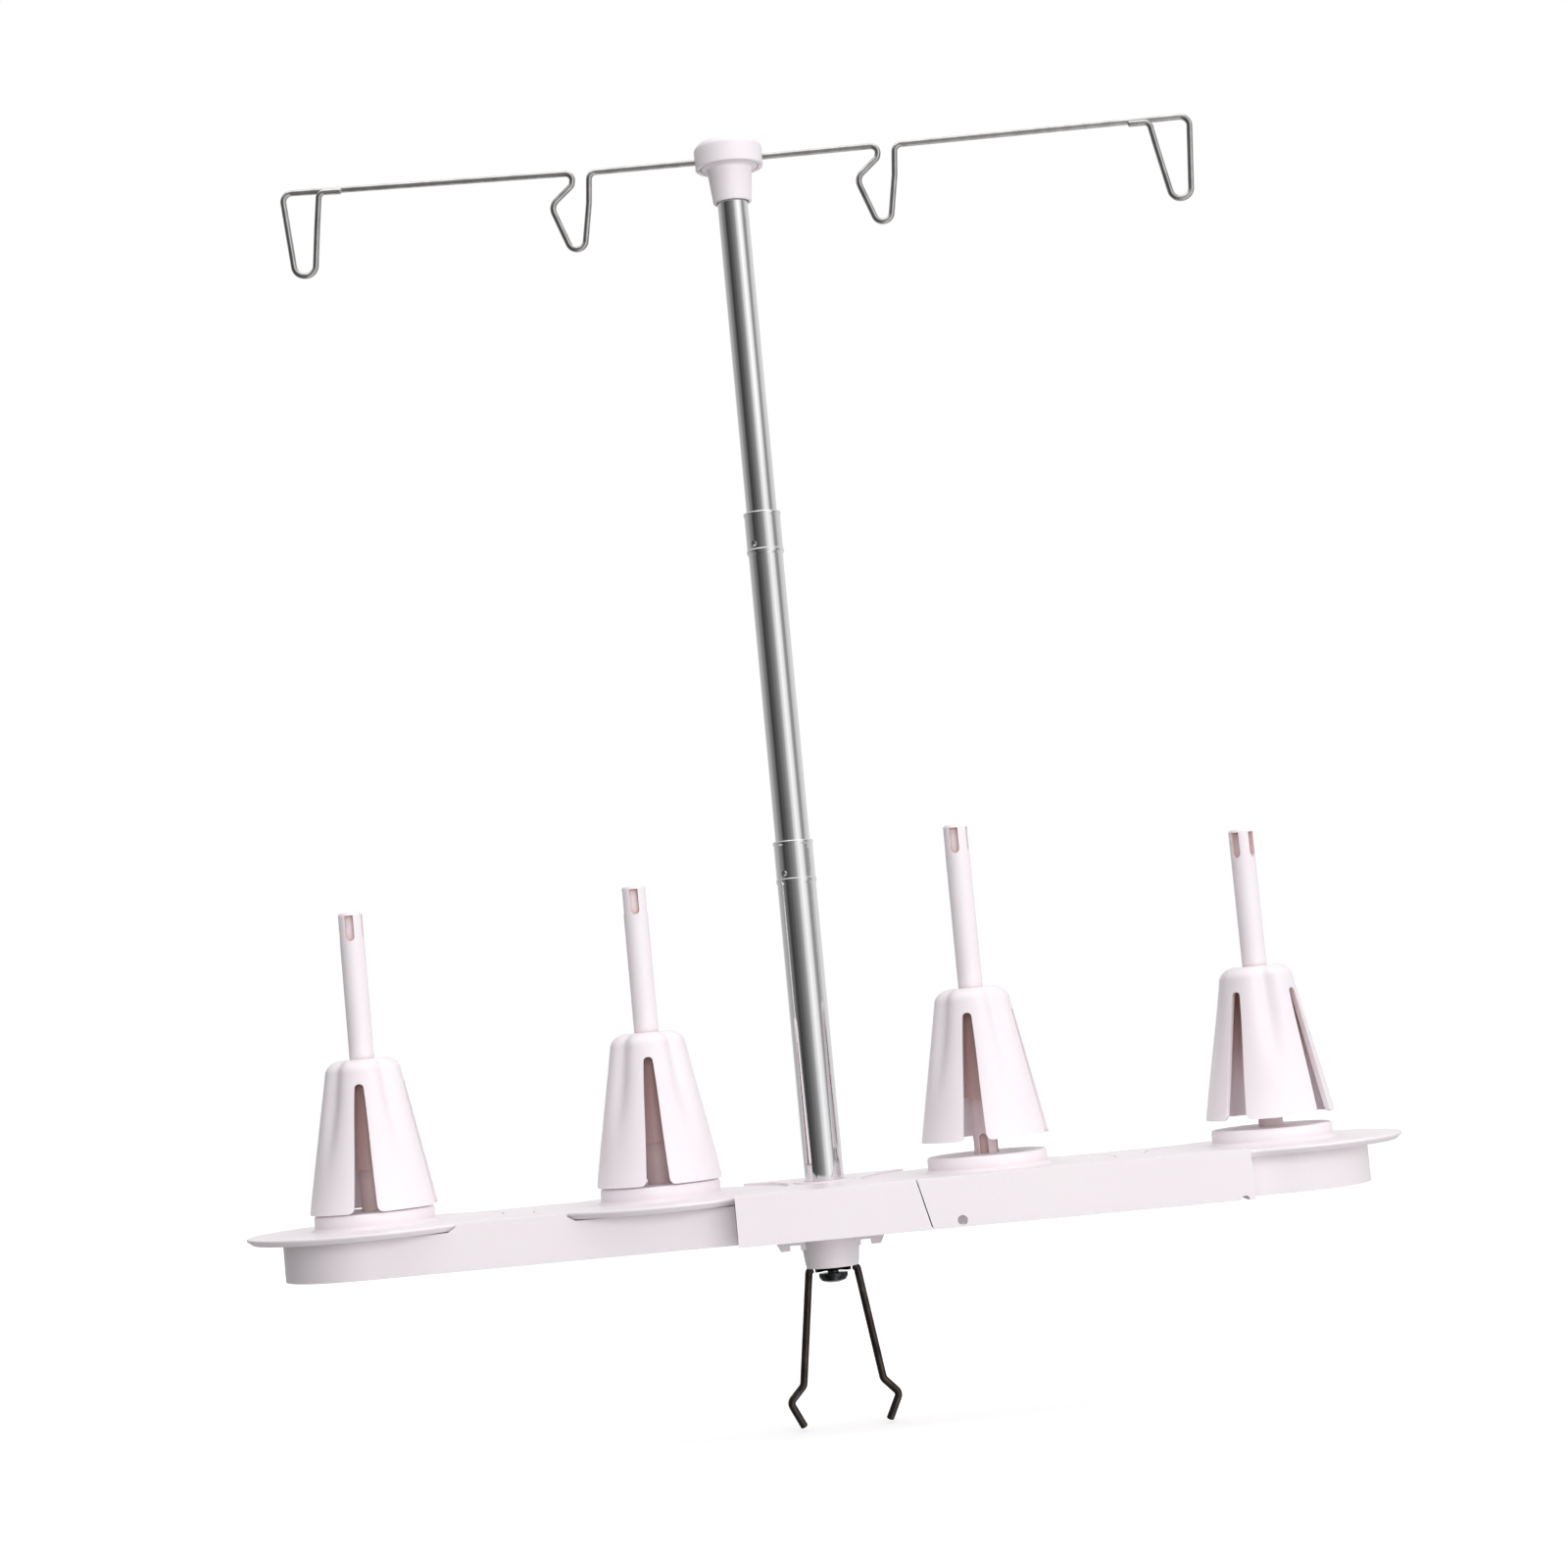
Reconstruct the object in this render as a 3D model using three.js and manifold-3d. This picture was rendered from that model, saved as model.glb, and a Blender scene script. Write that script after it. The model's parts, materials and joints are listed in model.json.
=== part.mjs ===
// Spool holder stand: a base with four thread-cone holders, a telescopic mast that carries
// a bar of wire thread guides, and a sprung clip that plugs into the machine below.
//
// Millimetres. +Z is up the mast, +X runs along the base, and -Y is the front.
// The origin lies on the mast's axis, in the plane where the base sits on the machine.

import * as THREE from 'three';
import { mergeVertices } from 'three/addons/utils/BufferGeometryUtils.js';
import Module from 'manifold-3d';

const wasm = await Module();
wasm.setup();

// ---------------------------------------------------------------- driving dimensions

const GAP = 0.3; // air left between two pieces that touch
const PAST = 1; // how far a cutter reaches past the face that it cuts
const BITE = 0.5; // how far a piece to be joined reaches into the other

const BASE = {
  innerPinX: 47, // mast axis to the two inner pins
  outerPinX: 129, // mast axis to the two outer pins
  armTop: 13.3,
  armRoof: 9.3, // underside of an arm's top
  armHalfDepth: 26.5,
  wall: 2.0,
  collarWall: 2.0,
  ribPitch: 24,
  ribWidth: 1.6,
  ribBottom: 3.0,
  frontY: -37.5, // common front of the centre block and the fascia
};

const SEAT = {
  discRadius: 36.5,
  discUnder: 11.3,
  discTop: 13.3,
  rimFlat: 0.7, // upright part of the rim, above the slope
  rimSlope: 1.6,
  ringRadius: 17.2,
  ringTop: 17.8,
  stemRadius: 5.7,
  stemBottom: 2.0,
  boreFloor: 5.7,
  boreRadius: 3.8,
};

const BLOCK = {
  leftX: -25.5,
  rightTopX: 24.5, // the right end leans outwards towards the bottom
  rightBottomX: 27.9,
  backY: 28.5,
  top: 14.0,
  roof: 9.3, // underside of the block's top
  wall: 2.2,
  postRadius: 9.5,
  boreRadius: 5.9,
  collarRadius: 9.0,
  collarTop: 14.4,
  screwPostRadius: 3.2,
};

const FASCIA = {
  endX: 116.9,
  wall: 2.0,
  windows: [{ x: 36.3, z: 1.9, radius: 1.4 }, { x: 114.2, z: 0.2, radius: 1.1 }],
  tabX: [37.2, 110.5],
  tabHalfWidth: 3,
  tabBottom: 3.9,
  tabTop: 5.4,
  ribPitch: 28,
  ribWidth: 1.6,
};

const TONGUE = {
  bottom: 2.5,
  top: 4.7,
  halfDepth: 18,
  endX: 12,
  screwX: 18,
  screwY: 11.5,
};

const PIN = {
  radius: 3.5,
  length: 97.3,
  seatedBottom: 6.0,
  fluteLength: 8.3,
  fluteWidth: 2.4,
  fluteDepth: 1.7,
  cap: 1.0,
};

const CONE = {
  height: 43,
  topRadius: 10.1,
  bottomRadius: 18.3,
  wall: 1.6,
  shoulderHeight: 4.0,
  shoulderWidth: 5.2,
  crown: 2.4,
  boreRadius: 3.8,
  sleeveRadius: 5.3,
  sleeveBottom: 11.5,
  slotTop: 36,
  slotTopWidth: 2.2,
  slotBottomWidth: 6.8,
  slotDeep: 5.9, // from the axis to where each slot's cut starts
};

// One entry for each pin, from left to right, as the stand was last left:
// how far the pin and its cone holder are pulled up, and the cone holder's turn.
const SPOOLS = [
  { x: -BASE.outerPinX, pinLift: 0, coneLift: 0, turn: 0 },
  { x: -BASE.innerPinX, pinLift: 0, coneLift: 0, turn: 1 },
  { x: BASE.innerPinX, pinLift: 9, coneLift: 4, turn: -13 },
  { x: BASE.outerPinX, pinLift: 0, coneLift: 2.6, turn: -41 },
];

const MAST = {
  wall: 0.35,
  lower: { radius: 5.6, bottom: -4, top: 112 },
  middle: { radius: 5.0, bottom: 95, top: 208 },
  upper: { radius: 4.45, bottom: 193.2, top: 309.1 },
  mouth: 12, // from a tube's lip down to its crimped ring
  lip: 1.0,
  plugTop: 8,
  brakeFlange: 2.7,
  brakeSpigot: 3.0,
};

const HUB = {
  bottom: 300,
  neckBottomRadius: 5.6,
  neckTopRadius: 6.6,
  capBottom: 310.4,
  capTop: 318,
  capRadius: 10,
  capSkirt: 1.4,
  flangeTop: 311.8,
  cavityTop: 314.3,
};

const GUIDE = {
  wireRadius: 0.9,
  barZ: 313,
  innerEndX: 1.5, // where each wire stops inside the hub
  hookX: { left: -46.7, right: 43.3 }, // foot of each hook
  loopX: { left: -126.6, right: 130.6 }, // middle of each end loop
};

const BOSS = {
  topRadius: 8.6,
  bottomRadius: 7.6,
  top: -0.3,
  bottom: -10.2,
  earHalfLength: 16.5,
  earHalfDepth: 4.2,
  earBottom: -4.7,
  earSlope: 2.2,
  pocket: [8.6, 11.6], // a notch under each ear, beside the post
  pocketTop: -3.2,
  recess: 1.0,
};

const CLIP = {
  wireRadius: 1.1,
  crownZ: -10.6,
  crownEndX: 5.2,
  bowRadius: 3.1,
  legTopX: 5.6,
  shoulder: [6.9, -11.1],
  knee: [11.4, -43.1],
  barb: [15.6, -47.6],
  tip: [12.1, -54.9],
};

const SCREW = { headRadius: 4.2, headTop: -12.0, headBottom: -14.7, shankRadius: 1.6, tip: 5 };
const ARM_SCREW = { headRadius: 2.7, headBottom: 0.5, shankRadius: 1.25, tip: 9 };

// ---------------------------------------------------------------- materials

function material(name, color, roughness, metalness) {
  const result = new THREE.MeshStandardMaterial({ color, roughness, metalness });
  result.name = name;
  return result;
}

const whitePlastic = material('white_plastic', 0xeee8ee, 0.35, 0);
const nylon = material('nylon', 0xdad7cf, 0.55, 0);
const chrome = material('chrome', 0xd4d4d6, 0.12, 1);
const guideSteel = material('guide_steel', 0x8f8c8a, 0.3, 1);
const springSteel = material('spring_steel', 0x3a332f, 0.4, 1);
const blackScrew = material('black_screw', 0x1d1c1f, 0.2, 1);

// ---------------------------------------------------------------- solids

// Turns a closed three.js geometry into a solid that can be cut and joined.
function solid(geometry) {
  const bare = new THREE.BufferGeometry();
  bare.setAttribute('position', geometry.getAttribute('position').clone());
  if (geometry.index) bare.setIndex(geometry.index.clone());
  const merged = mergeVertices(bare, 1e-4);
  const index = merged.index.array;
  const kept = [];
  for (let i = 0; i < index.length; i += 3) {
    const [a, b, c] = [index[i], index[i + 1], index[i + 2]];
    if (a !== b && b !== c && c !== a) kept.push(a, b, c);
  }
  const vertProperties = new Float32Array(merged.getAttribute('position').array);
  const result = new wasm.Manifold(new wasm.Mesh({
    numProp: 3,
    vertProperties,
    triVerts: new Uint32Array(kept),
  }));
  if (result.volume() > 0) return result;
  for (let i = 0; i < kept.length; i += 3) [kept[i], kept[i + 1]] = [kept[i + 1], kept[i]];
  return new wasm.Manifold(new wasm.Mesh({
    numProp: 3,
    vertProperties,
    triVerts: new Uint32Array(kept),
  }));
}

function box(x0, x1, y0, y1, z0, z1) {
  const geometry = new THREE.BoxGeometry(x1 - x0, y1 - y0, z1 - z0);
  geometry.translate((x0 + x1) / 2, (y0 + y1) / 2, (z0 + z1) / 2);
  return solid(geometry);
}

function cylinder(radius, z0, z1, x = 0, y = 0, sides = 40) {
  const geometry = new THREE.CylinderGeometry(radius, radius, z1 - z0, sides);
  geometry.rotateX(Math.PI / 2);
  geometry.translate(x, y, (z0 + z1) / 2);
  return solid(geometry);
}

// A profile of [radius, z] points, turned about the Z axis at x.
function revolve(profile, x = 0, sides = 40) {
  const points = profile.map(([radius, z]) => new THREE.Vector2(radius, z));
  const geometry = new THREE.LatheGeometry(points, sides);
  geometry.rotateX(Math.PI / 2);
  geometry.translate(x, 0, 0);
  return solid(geometry);
}

// A closed outline of [x, y] points, as thick as from z0 to z1.
function plate(outline, z0, z1) {
  const shape = new THREE.Shape(outline.map(([x, y]) => new THREE.Vector2(x, y)));
  const geometry = new THREE.ExtrudeGeometry(shape, { depth: z1 - z0, bevelEnabled: false });
  geometry.translate(0, 0, z0);
  return solid(geometry);
}

// A closed outline of [x, z] points, as deep as from y0 to y1.
function upright(outline, y0, y1) {
  const shape = new THREE.Shape(outline.map(([x, z]) => new THREE.Vector2(x, z)));
  const geometry = new THREE.ExtrudeGeometry(shape, { depth: y1 - y0, bevelEnabled: false });
  geometry.rotateX(Math.PI / 2);
  geometry.translate(0, y1, 0);
  return solid(geometry);
}

// A path with one knot for each step of the sweep, so that straight runs stay short in triangles.
class KnotPath extends THREE.Curve {
  constructor(knots) {
    super();
    this.knots = knots;
  }

  getPoint(t, target = new THREE.Vector3()) {
    const place = t * (this.knots.length - 1);
    const before = Math.min(Math.floor(place + 1e-6), this.knots.length - 2);
    return target.lerpVectors(this.knots[before], this.knots[before + 1], place - before);
  }

  getPointAt(t, target) {
    return this.getPoint(t, target);
  }

  getTangentAt(t, target = new THREE.Vector3()) {
    const last = this.knots.length - 1;
    const here = Math.round(t * last);
    const ahead = this.knots[Math.min(here + 1, last)].clone().sub(this.knots[here]).normalize();
    const behind = this.knots[here].clone().sub(this.knots[Math.max(here - 1, 0)]).normalize();
    return target.addVectors(ahead, behind).normalize();
  }
}

// Knots along straight runs between corners of [x, y, z, radius], with each corner rounded.
function roundedKnots(corners, arcSteps = 4) {
  const points = corners.map(([x, y, z]) => new THREE.Vector3(x, y, z));
  const knots = [points[0]];
  for (let i = 1; i < points.length - 1; i += 1) {
    const into = points[i].clone().sub(points[i - 1]).normalize();
    const out = points[i + 1].clone().sub(points[i]).normalize();
    const turn = into.angleTo(out);
    const setback = corners[i][3] * Math.tan(turn / 2);
    const start = points[i].clone().addScaledVector(into, -setback);
    const end = points[i].clone().addScaledVector(out, setback);
    const bend = new THREE.QuadraticBezierCurve3(start, points[i], end);
    knots.push(...bend.getPoints(arcSteps));
  }
  knots.push(points[points.length - 1]);
  return knots;
}

function sweep(knots, radius, sides = 8) {
  const section = [];
  for (let i = 0; i < sides; i += 1) {
    const angle = (i / sides) * 2 * Math.PI;
    section.push(new THREE.Vector2(radius * Math.cos(angle), radius * Math.sin(angle)));
  }
  const geometry = new THREE.ExtrudeGeometry(new THREE.Shape(section), {
    steps: knots.length - 1,
    extrudePath: new KnotPath(knots),
    bevelEnabled: false,
  });
  return solid(geometry);
}

function joined(solids) {
  return solids.reduce((whole, next) => whole.add(next));
}

function cut(whole, tools) {
  return tools.reduce((rest, tool) => rest.subtract(tool), whole);
}

const stand = new THREE.Group();
stand.name = 'spool_holder_stand';

function addPiece(name, body, finish, place = {}) {
  const mesh = body.getMesh();
  const geometry = new THREE.BufferGeometry();
  geometry.setAttribute('position', new THREE.BufferAttribute(mesh.vertProperties, 3));
  geometry.setIndex(new THREE.BufferAttribute(mesh.triVerts, 1));
  geometry.computeVertexNormals();
  const piece = new THREE.Mesh(geometry, finish);
  piece.name = name;
  piece.position.set(place.x ?? 0, 0, place.z ?? 0);
  piece.rotation.z = THREE.MathUtils.degToRad(place.turn ?? 0);
  stand.add(piece);
}

// ---------------------------------------------------------------- base

// Arm outline seen from above: square at the block, round about the outer pin.
function armOutline(side, innerX, halfDepth, sides = 20) {
  const outline = [[side * innerX, -side * halfDepth]];
  for (let i = 0; i <= sides; i += 1) {
    const angle = -Math.PI / 2 + (Math.PI * i) / sides;
    const x = BASE.outerPinX + halfDepth * Math.cos(angle);
    outline.push([side * x, side * halfDepth * Math.sin(angle)]);
  }
  outline.push([side * innerX, side * halfDepth]);
  return outline;
}

// Room for the discs of the spool seats, in whatever they lie on.
function discReliefs() {
  const floor = SEAT.discUnder - GAP;
  const brim = SEAT.discRadius + GAP;
  const profile = [
    [0, floor],
    [brim - SEAT.rimSlope, floor],
    [brim, SEAT.discTop - SEAT.rimFlat - GAP],
    [brim, SEAT.discTop + PAST],
    [0, SEAT.discTop + PAST],
  ];
  return [-BASE.outerPinX, -BASE.innerPinX, BASE.innerPinX, BASE.outerPinX].map(
    (x) => revolve(profile, x, 36),
  );
}

// A tray open below, with a collar under each spool seat and a tongue that enters the block.
function arm(side, innerX) {
  const roof = BASE.armRoof;
  const pocketDepth = BASE.armHalfDepth - BASE.wall;
  const collarX = [side * BASE.innerPinX, side * BASE.outerPinX];
  const tray = cut(plate(armOutline(side, innerX, BASE.armHalfDepth), 0, BASE.armTop), [
    plate(armOutline(side, innerX + BASE.wall, pocketDepth), -PAST, roof),
  ]);
  const ends = [side * TONGUE.endX, side * (innerX + 1)];
  const tongue = box(Math.min(...ends), Math.max(...ends), -TONGUE.halfDepth, TONGUE.halfDepth,
    TONGUE.bottom, TONGUE.top);
  const middleX = side * (BASE.innerPinX + BASE.outerPinX) / 2;
  const ribs = [-BASE.ribPitch / 2, BASE.ribPitch / 2].map((offset) => box(
    middleX + offset - BASE.ribWidth / 2,
    middleX + offset + BASE.ribWidth / 2,
    -pocketDepth - BITE,
    pocketDepth + BITE,
    BASE.ribBottom,
    roof + BITE,
  ));
  const stemHole = SEAT.stemRadius + GAP;
  const collars = collarX.map(
    (x) => cylinder(stemHole + BASE.collarWall, BASE.ribBottom, roof + BITE, x, 0, 24),
  );
  const holes = collarX.map((x) => cylinder(stemHole, -PAST, BASE.armTop + PAST, x, 0, 24));
  const screwHoles = [-1, 1].map((back) => cylinder(ARM_SCREW.shankRadius + GAP,
    TONGUE.bottom - PAST, TONGUE.top + PAST, side * TONGUE.screwX, back * TONGUE.screwY, 14));
  const post = cylinder(BLOCK.postRadius + GAP, TONGUE.bottom - PAST, TONGUE.top + PAST, 0, 0, 28);
  const whole = joined([tray, tongue, ...ribs, ...collars]);
  return cut(whole, [...holes, ...screwHoles, post, ...discReliefs()]);
}

addPiece('left_arm', arm(-1, -BLOCK.leftX + GAP), whitePlastic);
addPiece('right_arm', arm(1, BLOCK.rightBottomX + GAP), whitePlastic);

// X of the leaning right end of the block at height z.
function seamX(z) {
  const lean = (BLOCK.rightTopX - BLOCK.rightBottomX) / BLOCK.top;
  return BLOCK.rightBottomX + lean * z;
}

function centreBlock() {
  const outside = upright([
    [BLOCK.leftX, 0],
    [seamX(0), 0],
    [seamX(BLOCK.top), BLOCK.top],
    [BLOCK.leftX, BLOCK.top],
  ], BASE.frontY, BLOCK.backY);
  const roof = BLOCK.roof;
  const insideLeft = BLOCK.leftX + BLOCK.wall;
  const insideRight = BLOCK.rightTopX - BLOCK.wall;
  const insideFront = BASE.frontY + BLOCK.wall;
  const insideBack = BLOCK.backY - BLOCK.wall;
  const pocket = box(insideLeft, insideRight, insideFront, insideBack, -PAST, roof);
  const post = cylinder(BLOCK.postRadius, 0, roof + BITE, 0, 0, 28);
  const collar = cylinder(BLOCK.collarRadius, roof, BLOCK.collarTop, 0, 0, 28);
  const screws = [-1, 1].flatMap((side) => [-1, 1].map(
    (back) => [side * TONGUE.screwX, back * TONGUE.screwY],
  ));
  const screwPosts = screws.map(
    ([x, y]) => cylinder(BLOCK.screwPostRadius, TONGUE.top + GAP, roof + BITE, x, y, 14),
  );
  const pilots = screws.map(([x, y]) => cylinder(ARM_SCREW.shankRadius + GAP, 0, roof, x, y, 14));
  const tongueDepth = TONGUE.halfDepth + GAP;
  const tongueWindow = box(BLOCK.leftX - PAST, BLOCK.rightBottomX + PAST, -tongueDepth,
    tongueDepth, TONGUE.bottom - GAP, TONGUE.top + GAP)
    .subtract(box(insideLeft, insideRight, insideFront, insideBack, 0, roof));
  const shell = joined([outside.subtract(pocket), post, collar, ...screwPosts]);
  const mastBore = cylinder(BLOCK.boreRadius, -PAST, BLOCK.collarTop + PAST, 0, 0, 28);
  return cut(shell, [mastBore, tongueWindow, ...pilots, ...discReliefs()]);
}

addPiece('centre_block', centreBlock(), whitePlastic);

// The right arm's front cover: a wall in line with the block's front, a roof back to the arm,
// and snap windows along its lower edge.
function fascia() {
  const innerY = -BASE.armHalfDepth - GAP;
  const outline = [
    [seamX(0) + GAP, 0],
    [FASCIA.endX, 0],
    [FASCIA.endX, BLOCK.top],
    [seamX(BLOCK.top) + GAP, BLOCK.top],
  ];
  const outside = upright(outline, BASE.frontY, innerY);
  const pocket = box(seamX(0) + GAP + FASCIA.wall, FASCIA.endX - FASCIA.wall,
    BASE.frontY + FASCIA.wall, innerY + PAST, -PAST, BLOCK.roof);
  const tabs = FASCIA.tabX.map((x) => box(x - FASCIA.tabHalfWidth, x + FASCIA.tabHalfWidth,
    BASE.frontY + BITE, innerY, FASCIA.tabBottom, FASCIA.tabTop));
  const middleX = (BASE.innerPinX + BASE.outerPinX) / 2;
  const ribs = [-FASCIA.ribPitch / 2, FASCIA.ribPitch / 2].map((offset) => box(
    middleX + offset - FASCIA.ribWidth / 2,
    middleX + offset + FASCIA.ribWidth / 2,
    BASE.frontY + BITE,
    innerY,
    FASCIA.wall,
    BLOCK.roof + BITE,
  ));
  const windows = FASCIA.windows.map(({ x, z, radius }) => {
    const geometry = new THREE.CylinderGeometry(radius, radius, FASCIA.wall + PAST, 16);
    geometry.translate(x, BASE.frontY + FASCIA.wall / 2, z);
    return solid(geometry);
  });
  const shell = joined([outside.subtract(pocket), ...tabs, ...ribs]);
  return cut(shell, [...windows, ...discReliefs()]);
}

addPiece('right_fascia', fascia(), whitePlastic);

function armScrew() {
  const { headRadius, headBottom, shankRadius, tip } = ARM_SCREW;
  return revolve([
    [0, headBottom],
    [headRadius * 0.7, headBottom],
    [headRadius, headBottom + 0.6],
    [headRadius, TONGUE.bottom - GAP],
    [shankRadius, TONGUE.bottom - GAP],
    [shankRadius, tip - 1],
    [0, tip],
  ], 0, 14);
}

[[-1, -1], [-1, 1], [1, -1], [1, 1]].forEach(([side, back], i) => {
  const screw = armScrew().translate(0, back * TONGUE.screwY, 0);
  addPiece(`arm_screw_${i + 1}`, screw, blackScrew, { x: side * TONGUE.screwX });
});

// ---------------------------------------------------------------- spool seats, pins and cones

// A flanged bush: wide disc, raised ring, and a stem with a blind socket for the pin.
function spoolSeat() {
  return revolve([
    [0, SEAT.stemBottom],
    [SEAT.stemRadius, SEAT.stemBottom],
    [SEAT.stemRadius, SEAT.discUnder],
    [SEAT.discRadius - SEAT.rimSlope, SEAT.discUnder],
    [SEAT.discRadius, SEAT.discTop - SEAT.rimFlat],
    [SEAT.discRadius, SEAT.discTop],
    [SEAT.ringRadius, SEAT.discTop],
    [SEAT.ringRadius, SEAT.ringTop],
    [SEAT.boreRadius, SEAT.ringTop],
    [SEAT.boreRadius, SEAT.boreFloor],
    [0, SEAT.boreFloor],
  ], 0, 36);
}

// The pin is the same at both ends, so either end fits the socket: four flutes under a small cap.
function spoolPin() {
  const chamfer = 0.8;
  const rod = revolve([
    [0, 0],
    [PIN.radius - chamfer, 0],
    [PIN.radius, chamfer],
    [PIN.radius, PIN.length - chamfer],
    [PIN.radius - chamfer, PIN.length],
    [0, PIN.length],
  ], 0, 20);
  const flutes = [];
  for (const bottom of [PIN.cap, PIN.length - PIN.fluteLength]) {
    for (let quarter = 0; quarter < 4; quarter += 1) {
      const geometry = new THREE.BoxGeometry(PIN.fluteWidth, PIN.fluteDepth * 2,
        PIN.fluteLength - PIN.cap);
      geometry.translate(0, -PIN.radius, bottom + (PIN.fluteLength - PIN.cap) / 2);
      geometry.rotateZ((quarter * Math.PI) / 2);
      flutes.push(solid(geometry));
    }
  }
  return cut(rod, flutes);
}

// A bell with four spreading petals, and a sleeve inside that slides on the pin.
function coneHolder() {
  const { height, topRadius, bottomRadius, wall, crown, shoulderHeight, shoulderWidth } = CONE;
  const flank = (bottomRadius - topRadius) / height;
  const rimRadius = topRadius + flank * shoulderHeight;
  const shoulder = [90, 65, 40, 20, 0].map((degrees) => {
    const angle = THREE.MathUtils.degToRad(degrees);
    return [
      rimRadius - shoulderWidth * (1 - Math.cos(angle)),
      height - shoulderHeight * (1 - Math.sin(angle)),
    ];
  });
  const bell = revolve([
    [CONE.boreRadius, height],
    ...shoulder,
    [bottomRadius, 0],
    [bottomRadius - wall, 0],
    [topRadius + flank * crown - wall, height - crown],
    [CONE.sleeveRadius, height - crown],
    [CONE.sleeveRadius, CONE.sleeveBottom],
    [CONE.boreRadius, CONE.sleeveBottom],
    [CONE.boreRadius, height],
  ], 0, 32);
  const slotHalf = CONE.slotTopWidth / 2;
  const slots = [];
  for (let quarter = 0; quarter < 4; quarter += 1) {
    const shape = new THREE.Shape();
    shape.moveTo(-CONE.slotBottomWidth / 2, -PAST);
    shape.lineTo(CONE.slotBottomWidth / 2, -PAST);
    shape.lineTo(slotHalf, CONE.slotTop - slotHalf);
    shape.lineTo(0, CONE.slotTop);
    shape.lineTo(-slotHalf, CONE.slotTop - slotHalf);
    const geometry = new THREE.ExtrudeGeometry(shape, { depth: bottomRadius, bevelEnabled: false });
    geometry.rotateX(Math.PI / 2);
    geometry.translate(0, -CONE.slotDeep, 0);
    geometry.rotateZ((quarter * Math.PI) / 2);
    slots.push(solid(geometry));
  }
  return cut(bell, slots);
}

SPOOLS.forEach(({ x, pinLift, coneLift, turn }, i) => {
  const pinPlace = { x, z: PIN.seatedBottom + pinLift, turn };
  const conePlace = { x, z: SEAT.ringTop + GAP + coneLift, turn };
  addPiece(`spool_seat_${i + 1}`, spoolSeat(), whitePlastic, { x });
  addPiece(`spool_pin_${i + 1}`, spoolPin(), whitePlastic, pinPlace);
  addPiece(`cone_holder_${i + 1}`, coneHolder(), whitePlastic, conePlace);
});

// ---------------------------------------------------------------- mast

// A tube with a rolled lip and, where it takes another tube, a crimped ring below the lip.
function mastTube({ radius, bottom, top }, mouthRadius) {
  const bore = radius - MAST.wall;
  const outside = [[radius, bottom]];
  if (mouthRadius) {
    const ring = top - MAST.mouth;
    outside.push([radius, ring - 0.6]);
    outside.push([mouthRadius, ring]);
    outside.push([mouthRadius, ring + 0.8]);
    outside.push([mouthRadius - 0.2, ring + 1.2]);
    outside.push([mouthRadius - 0.2, top - MAST.lip]);
    outside.push([mouthRadius, top - MAST.lip]);
    outside.push([mouthRadius, top]);
  } else {
    outside.push([radius, top]);
  }
  return revolve([...outside, [bore, top], [bore, bottom], [radius, bottom]], 0, 28);
}

// The friction plug in a tube's foot: a flange that rubs in the tube outside, and a spigot.
function brake(tube, outerTube) {
  const flange = outerTube.radius - MAST.wall - 0.15;
  const spigot = tube.radius - MAST.wall - GAP;
  const top = tube.bottom - GAP;
  return revolve([
    [0, top - MAST.brakeFlange],
    [flange - 0.5, top - MAST.brakeFlange],
    [flange, top - MAST.brakeFlange + 0.5],
    [flange, top],
    [spigot, top],
    [spigot, tube.bottom + MAST.brakeSpigot],
    [0, tube.bottom + MAST.brakeSpigot],
  ], 0, 24);
}

addPiece('lower_tube', mastTube(MAST.lower, MAST.lower.radius + 0.25), chrome);
addPiece('middle_tube', mastTube(MAST.middle, MAST.middle.radius + 0.45), chrome);
addPiece('upper_tube', mastTube(MAST.upper), chrome);
addPiece('middle_brake', brake(MAST.middle, MAST.lower), nylon);
addPiece('upper_brake', brake(MAST.upper, MAST.middle), nylon);

const plugRadius = MAST.lower.radius - MAST.wall - GAP;
addPiece('mast_plug', cylinder(plugRadius, MAST.lower.bottom, MAST.plugTop, 0, 0, 28)
  .subtract(cylinder(SCREW.shankRadius + GAP, MAST.lower.bottom - 1, MAST.plugTop + 1, 0, 0, 20)),
nylon);

// ---------------------------------------------------------------- hub and thread guides

function hubBody() {
  const bore = MAST.upper.radius + GAP;
  return revolve([
    [bore, HUB.bottom],
    [HUB.neckBottomRadius, HUB.bottom],
    [HUB.neckTopRadius, HUB.capBottom - 0.3],
    [HUB.capRadius - HUB.capSkirt - GAP, HUB.capBottom],
    [HUB.capRadius - HUB.capSkirt - GAP, HUB.flangeTop],
    [0, HUB.flangeTop],
    [0, MAST.upper.top + GAP],
    [bore, MAST.upper.top + GAP],
    [bore, HUB.bottom],
  ], 0, 28);
}

function hubCap() {
  const inside = HUB.capRadius - HUB.capSkirt;
  const cup = revolve([
    [0, HUB.capTop],
    [HUB.capRadius - 1.6, HUB.capTop],
    [HUB.capRadius - 0.5, HUB.capTop - 0.5],
    [HUB.capRadius, HUB.capTop - 1.6],
    [HUB.capRadius, HUB.capBottom],
    [inside, HUB.capBottom],
    [inside, HUB.cavityTop],
    [0, HUB.cavityTop],
  ], 0, 28);
  const notch = GUIDE.wireRadius + GAP;
  return cut(cup, [box(-HUB.capRadius - 1, HUB.capRadius + 1, -notch, notch,
    HUB.capBottom - 1, GUIDE.barZ + notch)]);
}

addPiece('hub_body', hubBody(), whitePlastic);
addPiece('hub_cap', hubCap(), whitePlastic);

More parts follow.
